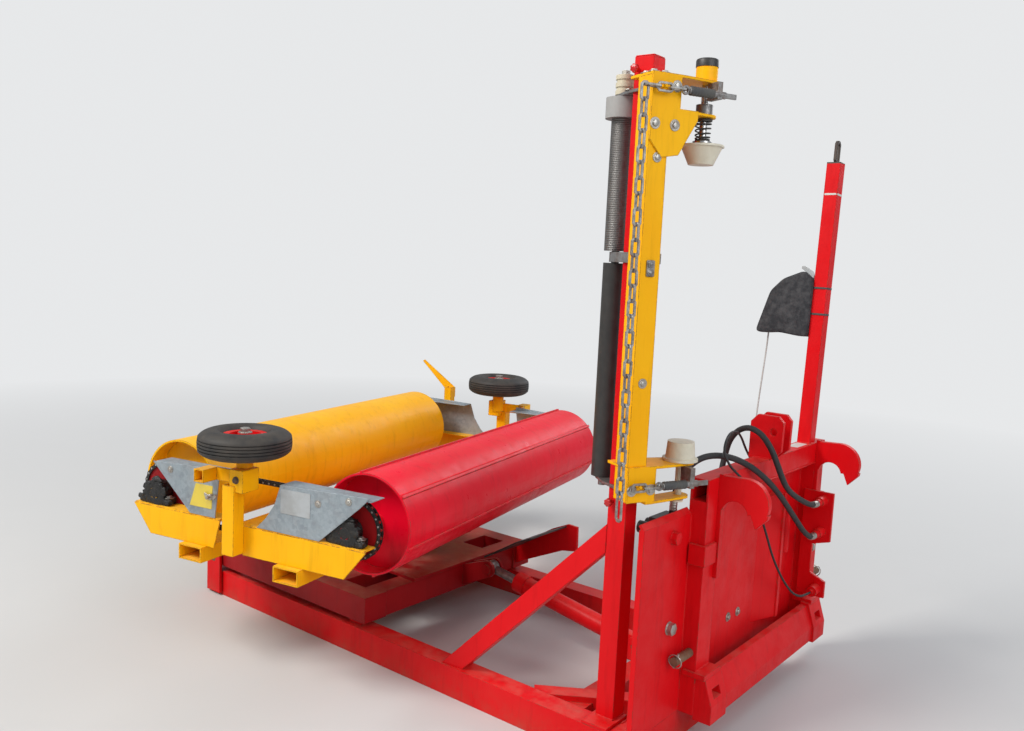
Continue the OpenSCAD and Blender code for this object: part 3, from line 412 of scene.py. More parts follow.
galvanised = bareMetal("galvanised", (0.36, 0.41, 0.44), (0.24, 0.28, 0.31), 0.6, (0.46, 0.64), 9.0, 0.12,
                       spangle=0.4)
bareSteel = bareMetal("bareSteel", (0.36, 0.35, 0.34), (0.17, 0.16, 0.15), 0.85, (0.35, 0.55), 40.0, 0.35)
rodSteel = bareMetal("rodSteel", (0.62, 0.61, 0.6), (0.45, 0.44, 0.42), 0.95, (0.16, 0.3), 12.0, 0.1)
rustySteel = bareMetal("rustySteel", (0.26, 0.15, 0.09), (0.12, 0.07, 0.05), 0.4, (0.6, 0.85), 25.0, 0.8)
zincBolts = bareMetal("zincBolts", (0.55, 0.53, 0.48), (0.33, 0.31, 0.28), 0.85, (0.3, 0.5), 60.0, 0.3)
darkBolts = bareMetal("darkBolts", (0.16, 0.13, 0.10), (0.07, 0.05, 0.04), 0.6, (0.5, 0.7), 50.0, 0.5)
chainSteel = bareMetal("chainSteel", (0.50, 0.49, 0.47), (0.22, 0.21, 0.19), 0.8, (0.35, 0.55), 55.0, 0.4)


def blackGrease():
    # wet black grease with a painted highlight: a paler colour on its highest lumps
    s = Shading("blackGrease")
    lumpy = s.noise(32.0, 7.0, 0.75)
    # painted highlight: where the lumpy bump is highest, the grease turns the paler colour
    color = s.mix(s.between(lumpy, 0.55, 0.75), (0.007, 0.0065, 0.006), (0.05, 0.04, 0.028))
    s.edges(0.003)
    s.bump(lumpy, 0.006, 0.9)
    return s.put(color=color, rough=s.between(lumpy, 0.4, 0.7, (0.25, 0.8)))


def rubber(name, base, dusty, share, scale=14.0, rough=0.62):
    # base turns dusty in cloudy patches, by share at most; a fine grain; the dusty patches are rougher
    s = Shading(name)
    cloud = s.noise(scale, 6.0, 0.7)
    color = s.mix(s.times(s.between(cloud, 0.4, 0.7), share), base, dusty)
    s.edges(0.002)
    s.bump(s.noise(240.0, 3.0), 0.0006, 0.4)
    return s.put(color=color, rough=s.between(cloud, 0.3, 0.7, (rough - 0.08, rough + 0.14)))


grease = blackGrease()
tyreRubber = rubber("tyreRubber", (0.020, 0.019, 0.018), (0.085, 0.07, 0.055), 0.7)
hoseRubber = rubber("hoseRubber", (0.016, 0.016, 0.017), (0.06, 0.055, 0.05), 0.4)
gripRubber = rubber("gripRubber", (0.05, 0.05, 0.05), (0.14, 0.13, 0.11), 0.5)
motorPaint = rubber("motorPaint", (0.018, 0.018, 0.019), (0.1, 0.085, 0.065), 0.6, 9.0, 0.45)
creamPlastic = rubber("creamPlastic", (0.68, 0.63, 0.50), (0.44, 0.38, 0.27), 0.6, 10.0, 0.42)
greyPlastic = rubber("greyPlastic", (0.52, 0.52, 0.50), (0.3, 0.28, 0.25), 0.5, 12.0, 0.45)
redPlastic = rubber("redPlastic", (0.5, 0.01, 0.012), (0.3, 0.05, 0.04), 0.3, 20.0, 0.3)
blankLabel = rubber("blankLabel", (0.66, 0.66, 0.62), (0.42, 0.38, 0.32), 0.55, 8.0, 0.4)
greyLabel = rubber("greyLabel", (0.40, 0.42, 0.43), (0.26, 0.25, 0.23), 0.6, 14.0, 0.38)
yellowLabel = rubber("yellowLabel", (0.72, 0.55, 0.06), (0.4, 0.3, 0.12), 0.5, 8.0, 0.4)
clothCoarse = rubber("clothCoarse", (0.016, 0.017, 0.021), (0.085, 0.085, 0.088), 0.85, 42.0, 0.85)

# heights in metres at which a roller's finish changes
rollerSet = dict(rubber=0.8415, rubberEnd=1.4955, metal=1.5305, collar=1.9178, neck=1.979, gear=1.9865)


def rollerFinish(levels):
    # by height: black rubber on the lower part, ringed metal above it, a pale collar, a cream gear on top
    s = Shading("rollerFinish")
    z = s.height()
    above = {key: s.between(z, level, level + 0.0005) for key, level in levels.items()}
    cloud = s.noise(26.0, 6.0, 0.7)
    steel = s.mix(cloud, (0.20, 0.19, 0.18), (0.34, 0.33, 0.32))
    black = s.mix(cloud, (0.012, 0.012, 0.013), (0.05, 0.047, 0.042))
    ringed = s.mix(cloud, (0.10, 0.10, 0.10), (0.22, 0.21, 0.20))
    pale = s.mix(cloud, (0.42, 0.42, 0.41), (0.27, 0.26, 0.25))
    cream = s.mix(cloud, (0.72, 0.66, 0.50), (0.52, 0.46, 0.33))
    color = s.mix(above["rubber"], steel, black)
    for key, own in dict(rubberEnd=steel, metal=ringed, collar=pale, neck=steel, gear=cream).items():
        color = s.mix(above[key], color, own)
    wave = s.node("ShaderNodeTexWave", wave_type="BANDS", bands_direction="Z")
    wave.inputs["Scale"].default_value = 60.0
    s.join(s.place, wave.inputs["Vector"])
    ringedPart = s.times(above["metal"], s.times(1.0, above["collar"], "SUBTRACT"))
    s.edges(0.002)
    s.bump(s.times(s.times(ringedPart, wave.outputs["Fac"]), s.times(cloud, 0.3), "ADD"), 0.0014, 0.8)
    metal = s.times(s.times(1.0, above["rubber"], "SUBTRACT"), ringedPart, "MAXIMUM")
    return s.put(color=color, metal=s.times(metal, 0.8), rough=s.between(cloud, 0.3, 0.7, (0.36, 0.6)))


rollerLook = rollerFinish(rollerSet)

# hoses and cables: the same points as the solids they stand for
cordSet = dict(
    hose_a=dict(diameter=20, stiffness="stiff", points=[
        (1455, -245, 748), (1455, -245, 766), (1456, -239, 805), (1461, -216, 851), (1472, -178, 884),
        (1489, -130, 903), (1512, -76, 905), (1538, -19, 892), (1564, 38, 866), (1584, 95, 831),
        (1597, 154, 791), (1603, 217, 747), (1605, 282, 701), (1605, 349, 653), (1605, 417, 604),
        (1605, 481, 561), (1605, 538, 532), (1605, 574, 524), (1605, 590, 524)]),
    hose_b=dict(diameter=20, stiffness="stiff", points=[
        (1455, -213, 690), (1455, -197, 690), (1450, -133, 684), (1436, -44, 667), (1423, 32, 662),
        (1412, 99, 680), (1404, 153, 719), (1399, 191, 777), (1402, 209, 843), (1419, 206, 903),
        (1456, 190, 946), (1505, 170, 963), (1555, 152, 949), (1593, 146, 909), (1613, 160, 858),
        (1617, 199, 809), (1611, 265, 762), (1606, 344, 722), (1605, 431, 686), (1605, 518, 655),
        (1605, 574, 645), (1605, 590, 645)]),
    plug_cable=dict(diameter=8, stiffness="medium", points=[
        (1470, 478, 750), (1470, 466, 750), (1465, 403, 761), (1457, 337, 804), (1456, 263, 867),
        (1466, 192, 921), (1482, 118, 952), (1500, 32, 963), (1520, -43, 951), (1536, -84, 921),
        (1558, -83, 881), (1578, -35, 836), (1587, 34, 773), (1590, 102, 700), (1592, 163, 619),
        (1594, 222, 536), (1596, 287, 462), (1598, 361, 394), (1600, 437, 340), (1602, 513, 309),
        (1604, 588, 300), (1604, 600, 300)]),
    bag_cable=dict(diameter=6, stiffness="limp", points=[
        (1330, 674, 1257), (1330, 673, 1240), (1326, 672, 1165), (1319, 671, 1066), (1312, 671, 968),
        (1308, 669, 869), (1309, 666, 777), (1319, 655, 697), (1342, 636, 644), (1382, 599, 612),
        (1425, 566, 610), (1460, 544, 637), (1470, 540, 676), (1470, 540, 688)]))

sleeveSet = dict(length=42.0, rings=24, sides=24, proud=1.4, swell=1.3, waves=5.5)


def alongBy(path, distance, count):  # the path cut at that arc length from its start
    reached = np.r_[0, np.cumsum(np.linalg.norm(np.diff(path, axis=0), axis=1))]
    where = np.linspace(0, distance, count)
    return np.stack([np.interp(where, reached, path[:, k]) for k in range(3)], 1)


def makeCord(name, s, sleeve):  # a tube along the route; a hose has a crimped sleeve at both ends
    path = smoothPath(s["points"], steps=6)
    r = s["diameter"] / 2
    isHose = s["stiffness"] == "stiff"
    finish = greyPlastic if name == "bag_cable" else hoseRubber
    tube = piece(name + "_skin", tubeAlong(path, r, 20 if isHose else 12), finish, "root",
                 sharp=60)
    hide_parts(name)
    if isHose:  # the sleeve's radius swells and dips along it
        wave = np.sin(np.linspace(0.0, sleeve["waves"] * math.pi, sleeve["rings"])) ** 2
        crimp = r + sleeve["proud"] + sleeve["swell"] * wave
        for k, line in enumerate((path, path[::-1])):
            ferrule = tubeAlong(alongBy(line, sleeve["length"], sleeve["rings"]), crimp, sleeve["sides"])
            piece(f"{name}_sleeve_{k + 1}", ferrule, zincBolts, "root")


for cordName, cordSpec in cordSet.items():
    makeCord(cordName, cordSpec, sleeveSet)
print("cords made:", len(cordSet))

looks = {
    redPaint: ["main_frame", "hitch_wall", "lifting_hooks", "film_post", "table_guard", "coupler_rack",
               "tilt_barrel", "near_wheel_rim", "far_wheel_rim"],
    bagPostPaint: ["bag_post"],
    darkRedPaint: ["tilt_frame", "rear_sprocket", "front_sprocket"],
    drumRedPaint: ["front_drum"],
    drumYellowPaint: ["rear_drum"],
    yellowPaint: ["film_carrier", "film_plates", "table_frame", "end_panels", "wheel_masts", "film_catcher"],
    galvanised: ["chain_covers"],
    rustySteel: ["link_pins"],
    rodSteel: ["cone_spindle"],
    bareSteel: ["roller_plates", "film_levers", "tilt_rod"],
    chainSteel: ["hang_chain"],
    grease: ["drum_chain", "drum_bearings", "table_pedestal"],
    motorPaint: ["table_motor", "guard_sheet", "control_blocks"],
    creamPlastic: ["upper_film_cone", "lower_film_cone"],
    rollerLook: ["roller_a", "roller_b"],
}
for finish, names in looks.items():
    for name in names:
        nodes[name].data.materials.clear()
        nodes[name].data.materials.append(finish)
print("finishes made:", len(bpy.data.materials))

# guide wheels: the tyre's section with round grooves, turned about the axle
tyreSet = dict(hubY=925.0, hubZ=839.0, seat=66.4, bead=74.4, wall=25.4, outer=155.0, crown=3.0, tread=25.0,
               grooves=4, groove=3.6, deep=4.5, slope=0.6, nut=30.0, nutLift=34.4, stud=11.0, studRing=38.0,
               studLift=6.4, studs=4, studStart=0.3)


def tyreSection(s):  # up the outside from the lower bead, a groove between each pair of ribs, down the seat
    rib = (2 * s["tread"] - s["grooves"] * s["groove"]) / (s["grooves"] + 1)
    low = [(s["seat"], -s["wall"]), (s["bead"], -s["wall"]), (79.0, -35.0), (84.0, -41.5), (90.0, -45.0),
           (97.0, -46.0), (100.0, -45.2), (103.0, -46.0), (112.0, -45.4), (122.0, -43.6), (131.0, -40.6),
           (139.0, -36.6), (145.5, -31.8)]

    def crowned(z):  # the tread's radius falls with the square of the distance from its middle
        return s["outer"] - s["crown"] * (z / s["tread"]) ** 2

    tread, z = [(crowned(-s["tread"]), -s["tread"])], -s["tread"] + rib
    for _ in range(s["grooves"]):
        floor = crowned(z) - s["deep"]
        far = z + s["groove"]
        tread += [(crowned(z), z), (floor, z + s["slope"]), (floor, far - s["slope"]), (crowned(far), far)]
        z += s["groove"] + rib
    tread.append((crowned(s["tread"]), s["tread"]))
    return low + tread + [(r, -h) for r, h in low[::-1]]


# shares of a bolt's corner radius, then the washer's edge and top in millimetres
boltSet = dict(topShare=0.84, chamfer=0.08, seatShare=0.9, edge=1.8, top=2.4, bevel=0.6, foot=2.0, sides=28)


def hexBolt(at, axis, across, tall=0.42, washer=1.9):
    # six-sided head with its chamfer, on a round washer; tall and washer are shares of its size across flats
    b, corner, rim = boltSet, across / 2 / math.cos(math.pi / 6), across * washer / 2
    top = across * tall + corner * b["chamfer"]
    head = [(corner, b["foot"]), (corner, across * tall), (corner * b["topShare"], top), (0.0, top)]
    disc = [(rim, 0.0), (rim, b["edge"]), (rim - b["bevel"], b["top"]), (corner * b["seatShare"], b["top"])]
    return joined([turnedProfile(head, at, axis, 6), turnedProfile(disc, at, axis, b["sides"])])


def boltRows(rows):  # each row: the axis, the size across the flats and the places
    return joined([hexBolt(at, axis, across) for axis, across, spots in rows for at in spots])


def makeWheel(side, end, s):  # the tyre, the nut of the axle and the four studs of the rim
    y, up = side * s["hubY"], (0, 0, 1)
    tyre = piece(end + "_tyre_ribbed", turnedLoop(tyreSection(s), (0, y, s["hubZ"]), up, 96), tyreRubber,
                 end + "_wheel", onTable, sharp=50)
    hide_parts(end + "_wheel_tyre")
    nut = hexBolt((0, y, s["hubZ"] + s["nutLift"]), up, s["nut"], tall=0.5, washer=1.5)
    piece(end + "_wheel_nut", nut, zincBolts, "turntable", onTable)
    r, z = s["studRing"], s["hubZ"] + s["studLift"]
    studs = [hexBolt((r * math.cos(t), y + r * math.sin(t), z), up, s["stud"], tall=0.5, washer=1.6)
             for t in anglesRound(s["studs"], s["studStart"])]
    piece(end + "_wheel_studs", joined(studs), zincBolts, end + "_wheel", onTable)


for wheelSide, wheelEnd in ((-1, "near"), (1, "far")):
    makeWheel(wheelSide, wheelEnd, tyreSet)
print("guide wheels made")

# turntable ends: bolts, grease, chain pins, labels
endSet = dict(panelY=937.0, shelf=559.0, bearingY=905.0, shaftY=929.5, drumX=419.0, drumZ=600.0, footX=48.0,
              footBolt=19.0, footLift=24.0, chainY=877.5, sprocket=97.3, heads=34, roundHeads=12,
              labelThick=1.0, armX=14.0, armZ=722.0, armProud=44.0, wingX=-134.0, wingZ=634.0, wingThick=4.5,
              wingOut=9.0, ring=178.0, ringZ=385.8, ringBolts=12)
coverBolts = [((0, -1, 0), 13, [(x, -endSet["panelY"], z) for x, z in ((320, 682), (440, 708), (-330, 700))])]
footBolts = [((0, 0, 1), endSet["footBolt"],
              [(side * endSet["drumX"] + dx, -endSet["bearingY"], endSet["shelf"] + endSet["footLift"])
               for side in (-1, 1) for dx in (-endSet["footX"], endSet["footX"])])]


def bothEnds(shape):  # the shape and its half turn about the table's axis
    points, faces = shape
    return joined([(points, faces), (np.asarray(points) * [-1, -1, 1], faces)])


piece("chain_cover_bolts", bothEnds(boltRows(coverBolts)), zincBolts, "turntable", onTable)
piece("bearing_bolts", bothEnds(boltRows(footBolts)), zincBolts, "turntable", onTable)

# grease: each lump has its offset from its place, then its three half sizes
greaseSet = dict(waves=14, pitch=3.2, spread=3.7, pole=0.02, topZ=634.0, faceProud=17.0, ring=34.0,
                 ringProud=22.0, ringStart=0.2, ringLumps=8, smear=(20.5, 3.2, 20.5),
                 tops=((0, 0, 0, (30, 17, 13)), (-30, 3, -14, (17, 14, 11)), (31, -2, -20, (15, 15, 10))),
                 fronts=((-62, -26, (22, 8, 13)), (-46, -8, (16, 9, 15)), (60, -28, (20, 8, 11)),
                         (8, 46, (24, 10, 10))))


def lump(centre, size, seed, wobble=0.28, rows=22, cols=36):
    # a ball whose radius is 1 plus a few random waves of about wobble, stretched to size
    g, rng = greaseSet, np.random.default_rng(seed)
    waves = rng.normal(size=(g["waves"], 3)) * g["pitch"]
    phases = rng.uniform(0, 2 * math.pi, g["waves"])
    lat = np.linspace(-math.pi / 2 + g["pole"], math.pi / 2 - g["pole"], rows)[:, None]
    lon = anglesRound(cols)[None, :]
    ball = np.stack([np.cos(lat) * np.cos(lon), np.cos(lat) * np.sin(lon), np.sin(lat) + 0 * lon], -1)
    r = 1 + wobble / g["spread"] * np.sin(ball @ waves.T + phases).sum(-1)
    points = np.asarray(centre, float) + (ball * r[..., None] * np.asarray(size, float)).reshape(-1, 3)
    return points, gridFaces(rows, cols) + endCaps(rows, cols)


def bearingGrease(e, g):
    # lumps on top of each housing, a ring of them round its outer face, and some beside it
    y, sides = -e["bearingY"], (-1, 1)
    lumps = [lump((side * e["drumX"] + dx, y + dy, g["topZ"] + dz), size, 5 + k)
             for side in sides for k, (dx, dy, dz, size) in enumerate(g["tops"])]
    for side in sides:
        x = side * e["drumX"]
        for k, t in enumerate(anglesRound(g["ringLumps"], g["ringStart"])):
            at = (x + g["ring"] * math.cos(t), y - g["ringProud"], e["drumZ"] + g["ring"] * math.sin(t))
            size = (21 + 4 * math.sin(3 * t), 4.5 + math.cos(5 * t), 18 + 3 * math.cos(2 * t))
            lumps.append(lump(at, size, 20 + k, wobble=0.15, rows=20, cols=34))
        for k, (dx, dz, size) in enumerate(g["fronts"]):
            at = (x + dx, y - g["faceProud"], e["drumZ"] + dz)
            lumps.append(lump(at, size, 40 + k, wobble=0.3, rows=16, cols=28))
    piece("bearing_grease", bothEnds(joined(lumps)), grease, "turntable", onTable, sharp=80)


def shaftGrease(e, g):  # a smear on each end of the drums' shafts
    for side, body in ((-1, "rear_drum"), (1, "front_drum")):
        smears = [lump((side * e["drumX"], y, e["drumZ"]), g["smear"], seed, wobble=0.1, rows=16, cols=40)
                  for y, seed in ((-e["shaftY"], 60), (e["shaftY"], 61))]
        piece(body + "_shaft_grease", joined(smears), grease, body, onTable, sharp=80)


bearingGrease(endSet, greaseSet)
shaftGrease(endSet, greaseSet)


def chainPins(s):  # one head at each link along both runs and round both ends
    pitch, heads = 2 * s["drumX"] / (s["heads"] - 1), []
    for side in (-1, 1):
        reach = side * s["sprocket"]
        for k in range(s["heads"]):
            heads.append((k * pitch - s["drumX"], reach))
        for k in range(1, s["roundHeads"]):
            t = math.pi * k / s["roundHeads"]
            heads.append((side * s["drumX"] + reach * math.sin(t), reach * math.cos(t)))
    rivet = [(3.6, -0.6), (3.6, 0.9), (2.8, 1.5), (0.0, 1.5)]
    return joined([turnedProfile(rivet, (x, -s["chainY"], s["drumZ"] + z), (0, -1, 0), 10) for x, z in heads])


piece("chain_pin_heads", chainPins(endSet), chainSteel, "turntable", onTable)


def endLabels(s):  # two blank labels, half a thickness before the panel's face
    y, thick = -s["panelY"] - s["labelThick"] / 2, s["labelThick"]
    yellow = upright([(-52, -42), (50, -42), (54, 40), (-24, 40)], thick, (-185, y, 630))
    piece("yellow_label_blank", yellow, yellowLabel, "turntable", onTable)
    grey = upright(roundedPlate(122, 82, 4), thick, (228, y, 668))
    piece("grey_label_blank", grey, greyLabel, "turntable", onTable)


def wingBolt(s):  # a stem with its collar, and a wing to each side
    at, out = (s["wingX"], -s["panelY"], s["wingZ"]), (0, -1, 0)
    stem = turnedProfile([(6.0, 0.0), (6.0, 26.0), (4.5, 28.0), (0.0, 28.0)], at, out, 20)
    collar = turnedProfile([(11.0, 4.0), (11.0, 13.0), (9.5, 15.0), (7.0, 15.0)], at, out, 24)
    wing = [(7, -5), (18, -8), (27, 4), (26, 13), (16, 8), (7, 5)]
    mirrored = [(-x, z) for x, z in wing[::-1]]
    middle = (s["wingX"], -s["panelY"] - s["wingOut"], s["wingZ"])
    return joined([stem, collar] + [upright(outline, s["wingThick"], middle) for outline in (mirrored, wing)])


endLabels(endSet)
piece("cover_wing_bolt", wingBolt(endSet), zincBolts, "turntable", onTable, bevel=0.8)
ringBolts = [((0, 0, -1), 17, [(endSet["ring"] * math.cos(t), endSet["ring"] * math.sin(t), endSet["ringZ"])
                               for t in anglesRound(endSet["ringBolts"])])]
piece("table_bearing_bolts", boltRows(ringBolts), zincBolts, "turntable", onTable)
armBolt = hexBolt((endSet["armX"], -endSet["panelY"] - endSet["armProud"], endSet["armZ"]), (0, -1, 0), 17,
                  tall=0.5, washer=1.5)
piece("arm_bolts", bothEnds(armBolt), darkBolts, "turntable", onTable)
print("turntable ends detailed")

# film dispenser: spring, grips, caps, knobs, bolts
springSet = dict(x=60.0, y=155.0, foot=1853.6, top=1917.6, wire=2.2, coils=7.5, radius=19.0, grows=5.0,
                 closed=0.75, perCoil=30)


def coilPath(s):  # closed end coils: the height rises slowly at both ends, the radius grows upwards
    t = np.linspace(0, 1, int(s["coils"] * s["perCoil"]))
    rise = t - np.sin(2 * math.pi * t) / (2 * math.pi) * s["closed"]
    r = s["radius"] + s["grows"] * t
    a = 2 * math.pi * s["coils"] * t
    z = s["foot"] + s["wire"] + (s["top"] - s["foot"] - 2 * s["wire"]) * rise
    return np.stack([s["x"] + r * np.cos(a), s["y"] + r * np.sin(a), z], 1)


def coneSpring(s):  # a wire tube along the coil path, on a mesh of its own
    spring = piece("cone_spring", tubeAlong(coilPath(s), s["wire"], 12), motorPaint, "root",
                   onDispenser, sharp=80)
    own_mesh(spring)


coneSpring(springSet)

gripSet = dict(x=127.5, heights=(1975.0, 862.0), start=50.0, end=130.0, inner=10.1, outer=12.4, ridge=0.9,
               ridges=8, lip=11.2, rings=65)


def grip(z, s):  # a sleeve on the lever with soft ridges
    along = np.linspace(s["start"], s["end"], s["rings"])
    pitch = (s["end"] - s["start"]) / s["ridges"]
    outer = s["outer"] + s["ridge"] * np.abs(np.sin((along - s["start"]) * math.pi / pitch))
    outer[[0, -1]] = s["lip"]
    section = [(s["inner"], s["end"]), (s["inner"], s["start"])] + list(zip(outer, along))
    return turnedLoop(section, (s["x"], 0, z), (0, 1, 0), 28)


grips = joined([grip(z, gripSet) for z in gripSet["heights"]])
piece("lever_grips", grips, gripRubber, "root", onDispenser, sharp=60)

# caps and brackets: a hollow cap over the film tube, a thin square one on the post
tubeCap = [(0.0, 2080.4), (31.1, 2080.4), (31.1, 2060), (32.4, 2060), (32.4, 2078), (31.0, 2081.5),
           (27.0, 2083.5), (0.0, 2084)]
piece("film_tube_cap", turnedProfile(tubeCap, (springSet["x"], springSet["y"], 0), (0, 0, 1), 40), motorPaint,
      "root", onDispenser)
postCap = lying(roundedPlate(63, 63, 6), 4.0, (places["postX"], places["postY"], 2078))
piece("post_cap", postCap, redPaint, "root", onMachine, bevel=1.0)
plateBolts = [((0, 0, 1), 17, [(55, -48, 2018), (92, -48, 2018), (92, -12, 2018)]),
              ((0, 0, 1), 13, [(-40, -40, 1986.9), (-40, 40, 1986.9)]),
              ((1, 0, 0), 17, [(111.5, 18, 1985), (111.5, 18, 1880), (111.5, -48, 1880), (111.5, -48, 850),
                               (111.5, 18, 850)]),
              ((1, 0, 0), 15, [(105.5, -30, 1790), (105.5, -30, 1160)])]
piece("dispenser_bolts", boltRows(plateBolts), zincBolts, "root", onDispenser)
bracket = plate(roundedPlate(26, 46, 4), 5.0, (108, -30, 1485), (0, 1, 0), (0, 0, 1))
bracketBolts = boltRows([((1, 0, 0), 11, [(110.5, -30, 1497), (110.5, -30, 1473)])])
piece("carrier_bracket", joined([bracket, bracketBolts]), bareSteel, "root", onDispenser,
      bevel=0.8)
for rollerName, shaftTop in (("roller_a", (-114, -5, 2043.6)), ("roller_b", (-134, 75, 2043.6))):
    piece(f"{rollerName}_nut", hexBolt(shaftTop, (0, 0, 1), 24, tall=0.55, washer=1.4), zincBolts, rollerName,
          onDispenser)

# each ring of a knob: its distance from the post, then its share of the radius
knobSet = dict(radius=12.0, lobes=7, wave=0.09, stem=5.0, stemLong=15.0, sides=84,
               rings=((14.0, 0.80), (16.0, 0.97), (26.0, 1.0), (29.0, 0.92), (30.5, 0.70)),
               places=((1352, -435, 790), (1352, -435, 2040)))


def knob(at, axis, s):  # a stem and a star grip, whose radius is multiplied by 1 plus a wave of lobes
    u, v, w = frameOf(axis)
    t = anglesRound(s["sides"])
    around = np.cos(t)[:, None] * u + np.sin(t)[:, None] * v
    rings = []
    for height, share in s["rings"]:
        radius = s["radius"] * share * (1 + s["wave"] * np.cos(s["lobes"] * t))
        rings.append(np.asarray(at, float) + height * w + radius[:, None] * around)
    faces = gridFaces(len(rings), s["sides"]) + endCaps(len(rings), s["sides"])
    stem = turnedProfile([(s["stem"], 0.0), (s["stem"], s["stemLong"])], at, axis, 20)
    return joined([(np.vstack(rings), faces), stem])


piece("post_knobs", joined([knob(at, (0, -1, 0), knobSet) for at in knobSet["places"]]), redPlastic, "root",
      onMachine, sharp=50)
print("film dispenser detailed")

# hitch and frame: big bolts, link pin rings, weld beads, straps
hitchSet = dict(plateX=1504.0, column=1556.0, linkX=1531.0, linkY=270.0, linkZ=305.0, linkOut=576.0, pin=4.5,
                pinHalf=24.0, ring=21.0, ringWire=2.0, ringSides=10)


def nearPlateBolt(name, y, z, across, finish):  # a tall head on a small washer
    bolt = hexBolt((hitchSet["plateX"], y, z), (1, 0, 0), across, tall=0.55, washer=1.25)
    piece(name, bolt, finish, "root")


nearPlateBolt("near_plate_red_bolt", -325, 690, 36, redPaint)
nearPlateBolt("near_plate_pale_bolt", -316, 404, 34, zincBolts)
smallBolts = [((1, 0, 0), 17, [(hitchSet["plateX"], y, z) for y, z in ((182, 316), (106, 318))]),
              ((1, 0, 0), 24, [(hitchSet["column"], y, z) for y, z in ((714, 560), (714, 440))])]
piece("hitch_small_bolts", boltRows(smallBolts), zincBolts, "root")
piece("beam_patch_blank", lying(roundedPlate(40, 96, 4), 0.8, (1524, 560, 856.4)), blankLabel, "root")


def linchPin(side, s):  # a cross pin through the link pin, and its ring sprung over the end
    y = s["linkY"] + side * s["linkOut"]
    at = (s["linkX"], y, s["linkZ"])
    cross = turnedProfile([(s["pin"], -s["pinHalf"]), (s["pin"], s["pinHalf"])], at, (0.3, 0, 1), 16)
    t = anglesRound(48)
    ring = np.stack([s["linkX"] + s["ring"] * np.sin(t), y + side * (5 + 3 * np.cos(t)),
                     s["linkZ"] + s["ring"] * np.cos(t)], 1)
    return joined([cross, tubeAlong(np.vstack([ring, ring[:2]]), s["ringWire"], s["ringSides"])])


piece("link_pin_rings", joined([linchPin(side, hitchSet) for side in (-1, 1)]), zincBolts, "root",
      onMachine, sharp=60)

weldSet = dict(radius=3.4, step=1.3, fewest=12, drift=0.12, reach=1.0, ripple=4.0, low=0.86, swell=0.16,
               uneven=0.02, sides=10)
# each bead runs from its first corner to its second
welds = [((1556, -217, 248), (1556, -131, 248)), ((1556, 671, 248), (1556, 757, 248)),
         ((1498, 228, 856), (1554, 228, 856)), ((1498, 312, 856), (1554, 312, 856)),
         ((1340, -435, 115), (1400, -435, 115)), ((1400, -433, 115), (1400, -375, 115)),
         ((1498, 625, 856), (1546, 625, 856)), ((1547, 626, 856), (1547, 674, 856)),
         ((1504, -219, 250), (1504, -219, 738)), ((1504, -128, 250), (1504, -128, 775)),
         ((1504, 668, 300), (1504, 668, 775)), ((1556, -130, 781), (1556, 668, 781)),
         ((1420, -414, 105), (1420, 414, 105)), ((1210, -415, 72), (1130, -415, 72))]


def weldBead(start, end, seed, s):  # a ridge whose radius ripples along it and whose line wanders a little
    start, end = np.asarray(start, float), np.asarray(end, float)
    length = np.linalg.norm(end - start)
    count = max(s["fewest"], int(length / s["step"]))
    t = np.linspace(0, 1, count)
    rng = np.random.default_rng(seed)
    wander = np.cumsum(rng.normal(0, s["drift"], (count, 3)), 0)
    wander -= t[:, None] * wander[-1]
    ripple = np.abs(np.sin(math.pi * length * t / s["ripple"]))
    radius = s["radius"] * (s["low"] + s["swell"] * ripple + rng.normal(0, s["uneven"], count))
    line = start + t[:, None] * (end - start) + np.clip(wander, -s["reach"], s["reach"])
    return tubeAlong(line, radius, s["sides"])


beads = [weldBead(start, end, k, weldSet) for k, (start, end) in enumerate(welds)]
piece("frame_weld_beads", joined(beads), redPaint, "root", onMachine, sharp=70)

bandSet = dict(post=50.0, play=0.1, postCorner=4.0, corner=5.0, steps=6, tall=7.0)


def postBand(z, out, s):  # a loop of rounded corners round the square post, in the post's own frame
    inner = np.array(roundedPlate(s["post"] + s["play"], s["post"] + s["play"], s["postCorner"], s["steps"]))
    wide = s["post"] + 2 * out
    loop = np.array(roundedPlate(wide, wide, s["corner"] + out, s["steps"]))
    rings = [np.c_[outline, np.full(len(outline), height)] for outline, height in
             ((inner, z), (loop, z), (loop, z + s["tall"]), (inner, z + s["tall"]))]
    return np.vstack(rings), loopFaces(len(rings), len(loop))


ties = joined([postBand(z, 2.2, bandSet) for z in (577, 480)])
piece("bag_post_band", postBand(924, 0.6, bandSet), blankLabel, "root", onBagPost)
piece("bag_post_ties", ties, gripRubber, "root", onBagPost)
print("hitch detailed")

# control bag: a slack cloth bag with its box inside, tied to the post
bagSet = dict(outline=[(-233, 405), (-205, 399), (-25.6, 400), (-25.6, 612), (-62, 642), (-140, 609),
                       (-189, 560)],
              middle=(-112.0, 508.0), half=45.0, corner=15.0, cols=160, postX=-25.8, domed=0.09,
              shares=(0.04, 0.1, 0.18, 0.27, 0.36, 0.45, 0.54, 0.63, 0.71, 0.79, 0.86, 0.91, 0.95, 0.975),
              rim=((0.992, -0.82), (1.0, -0.62), (1.0, -0.36), (0.993, -0.12), (0.993, 0.12), (1.0, 0.36),
                   (1.0, 0.62), (0.992, 0.82)),
              freeSlope=0.284, freeFoot=(-187, 405), freeSpan=46, thinner=15, hem=430, hemTall=30, droop=4.0,
              droopWave=31.0, farShift=40)
# ranges of the random draws, in millimetres where they are lengths
foldSet = dict(seed=11, folds=11, depth=5.2, lean=0.9, wave=(26, 62), bend=(40, 90), bent=0.7, phase=(0, 6),
               fade=(30, 70), weight=(0.3, 1.0), gain=2.6, level=0.5)


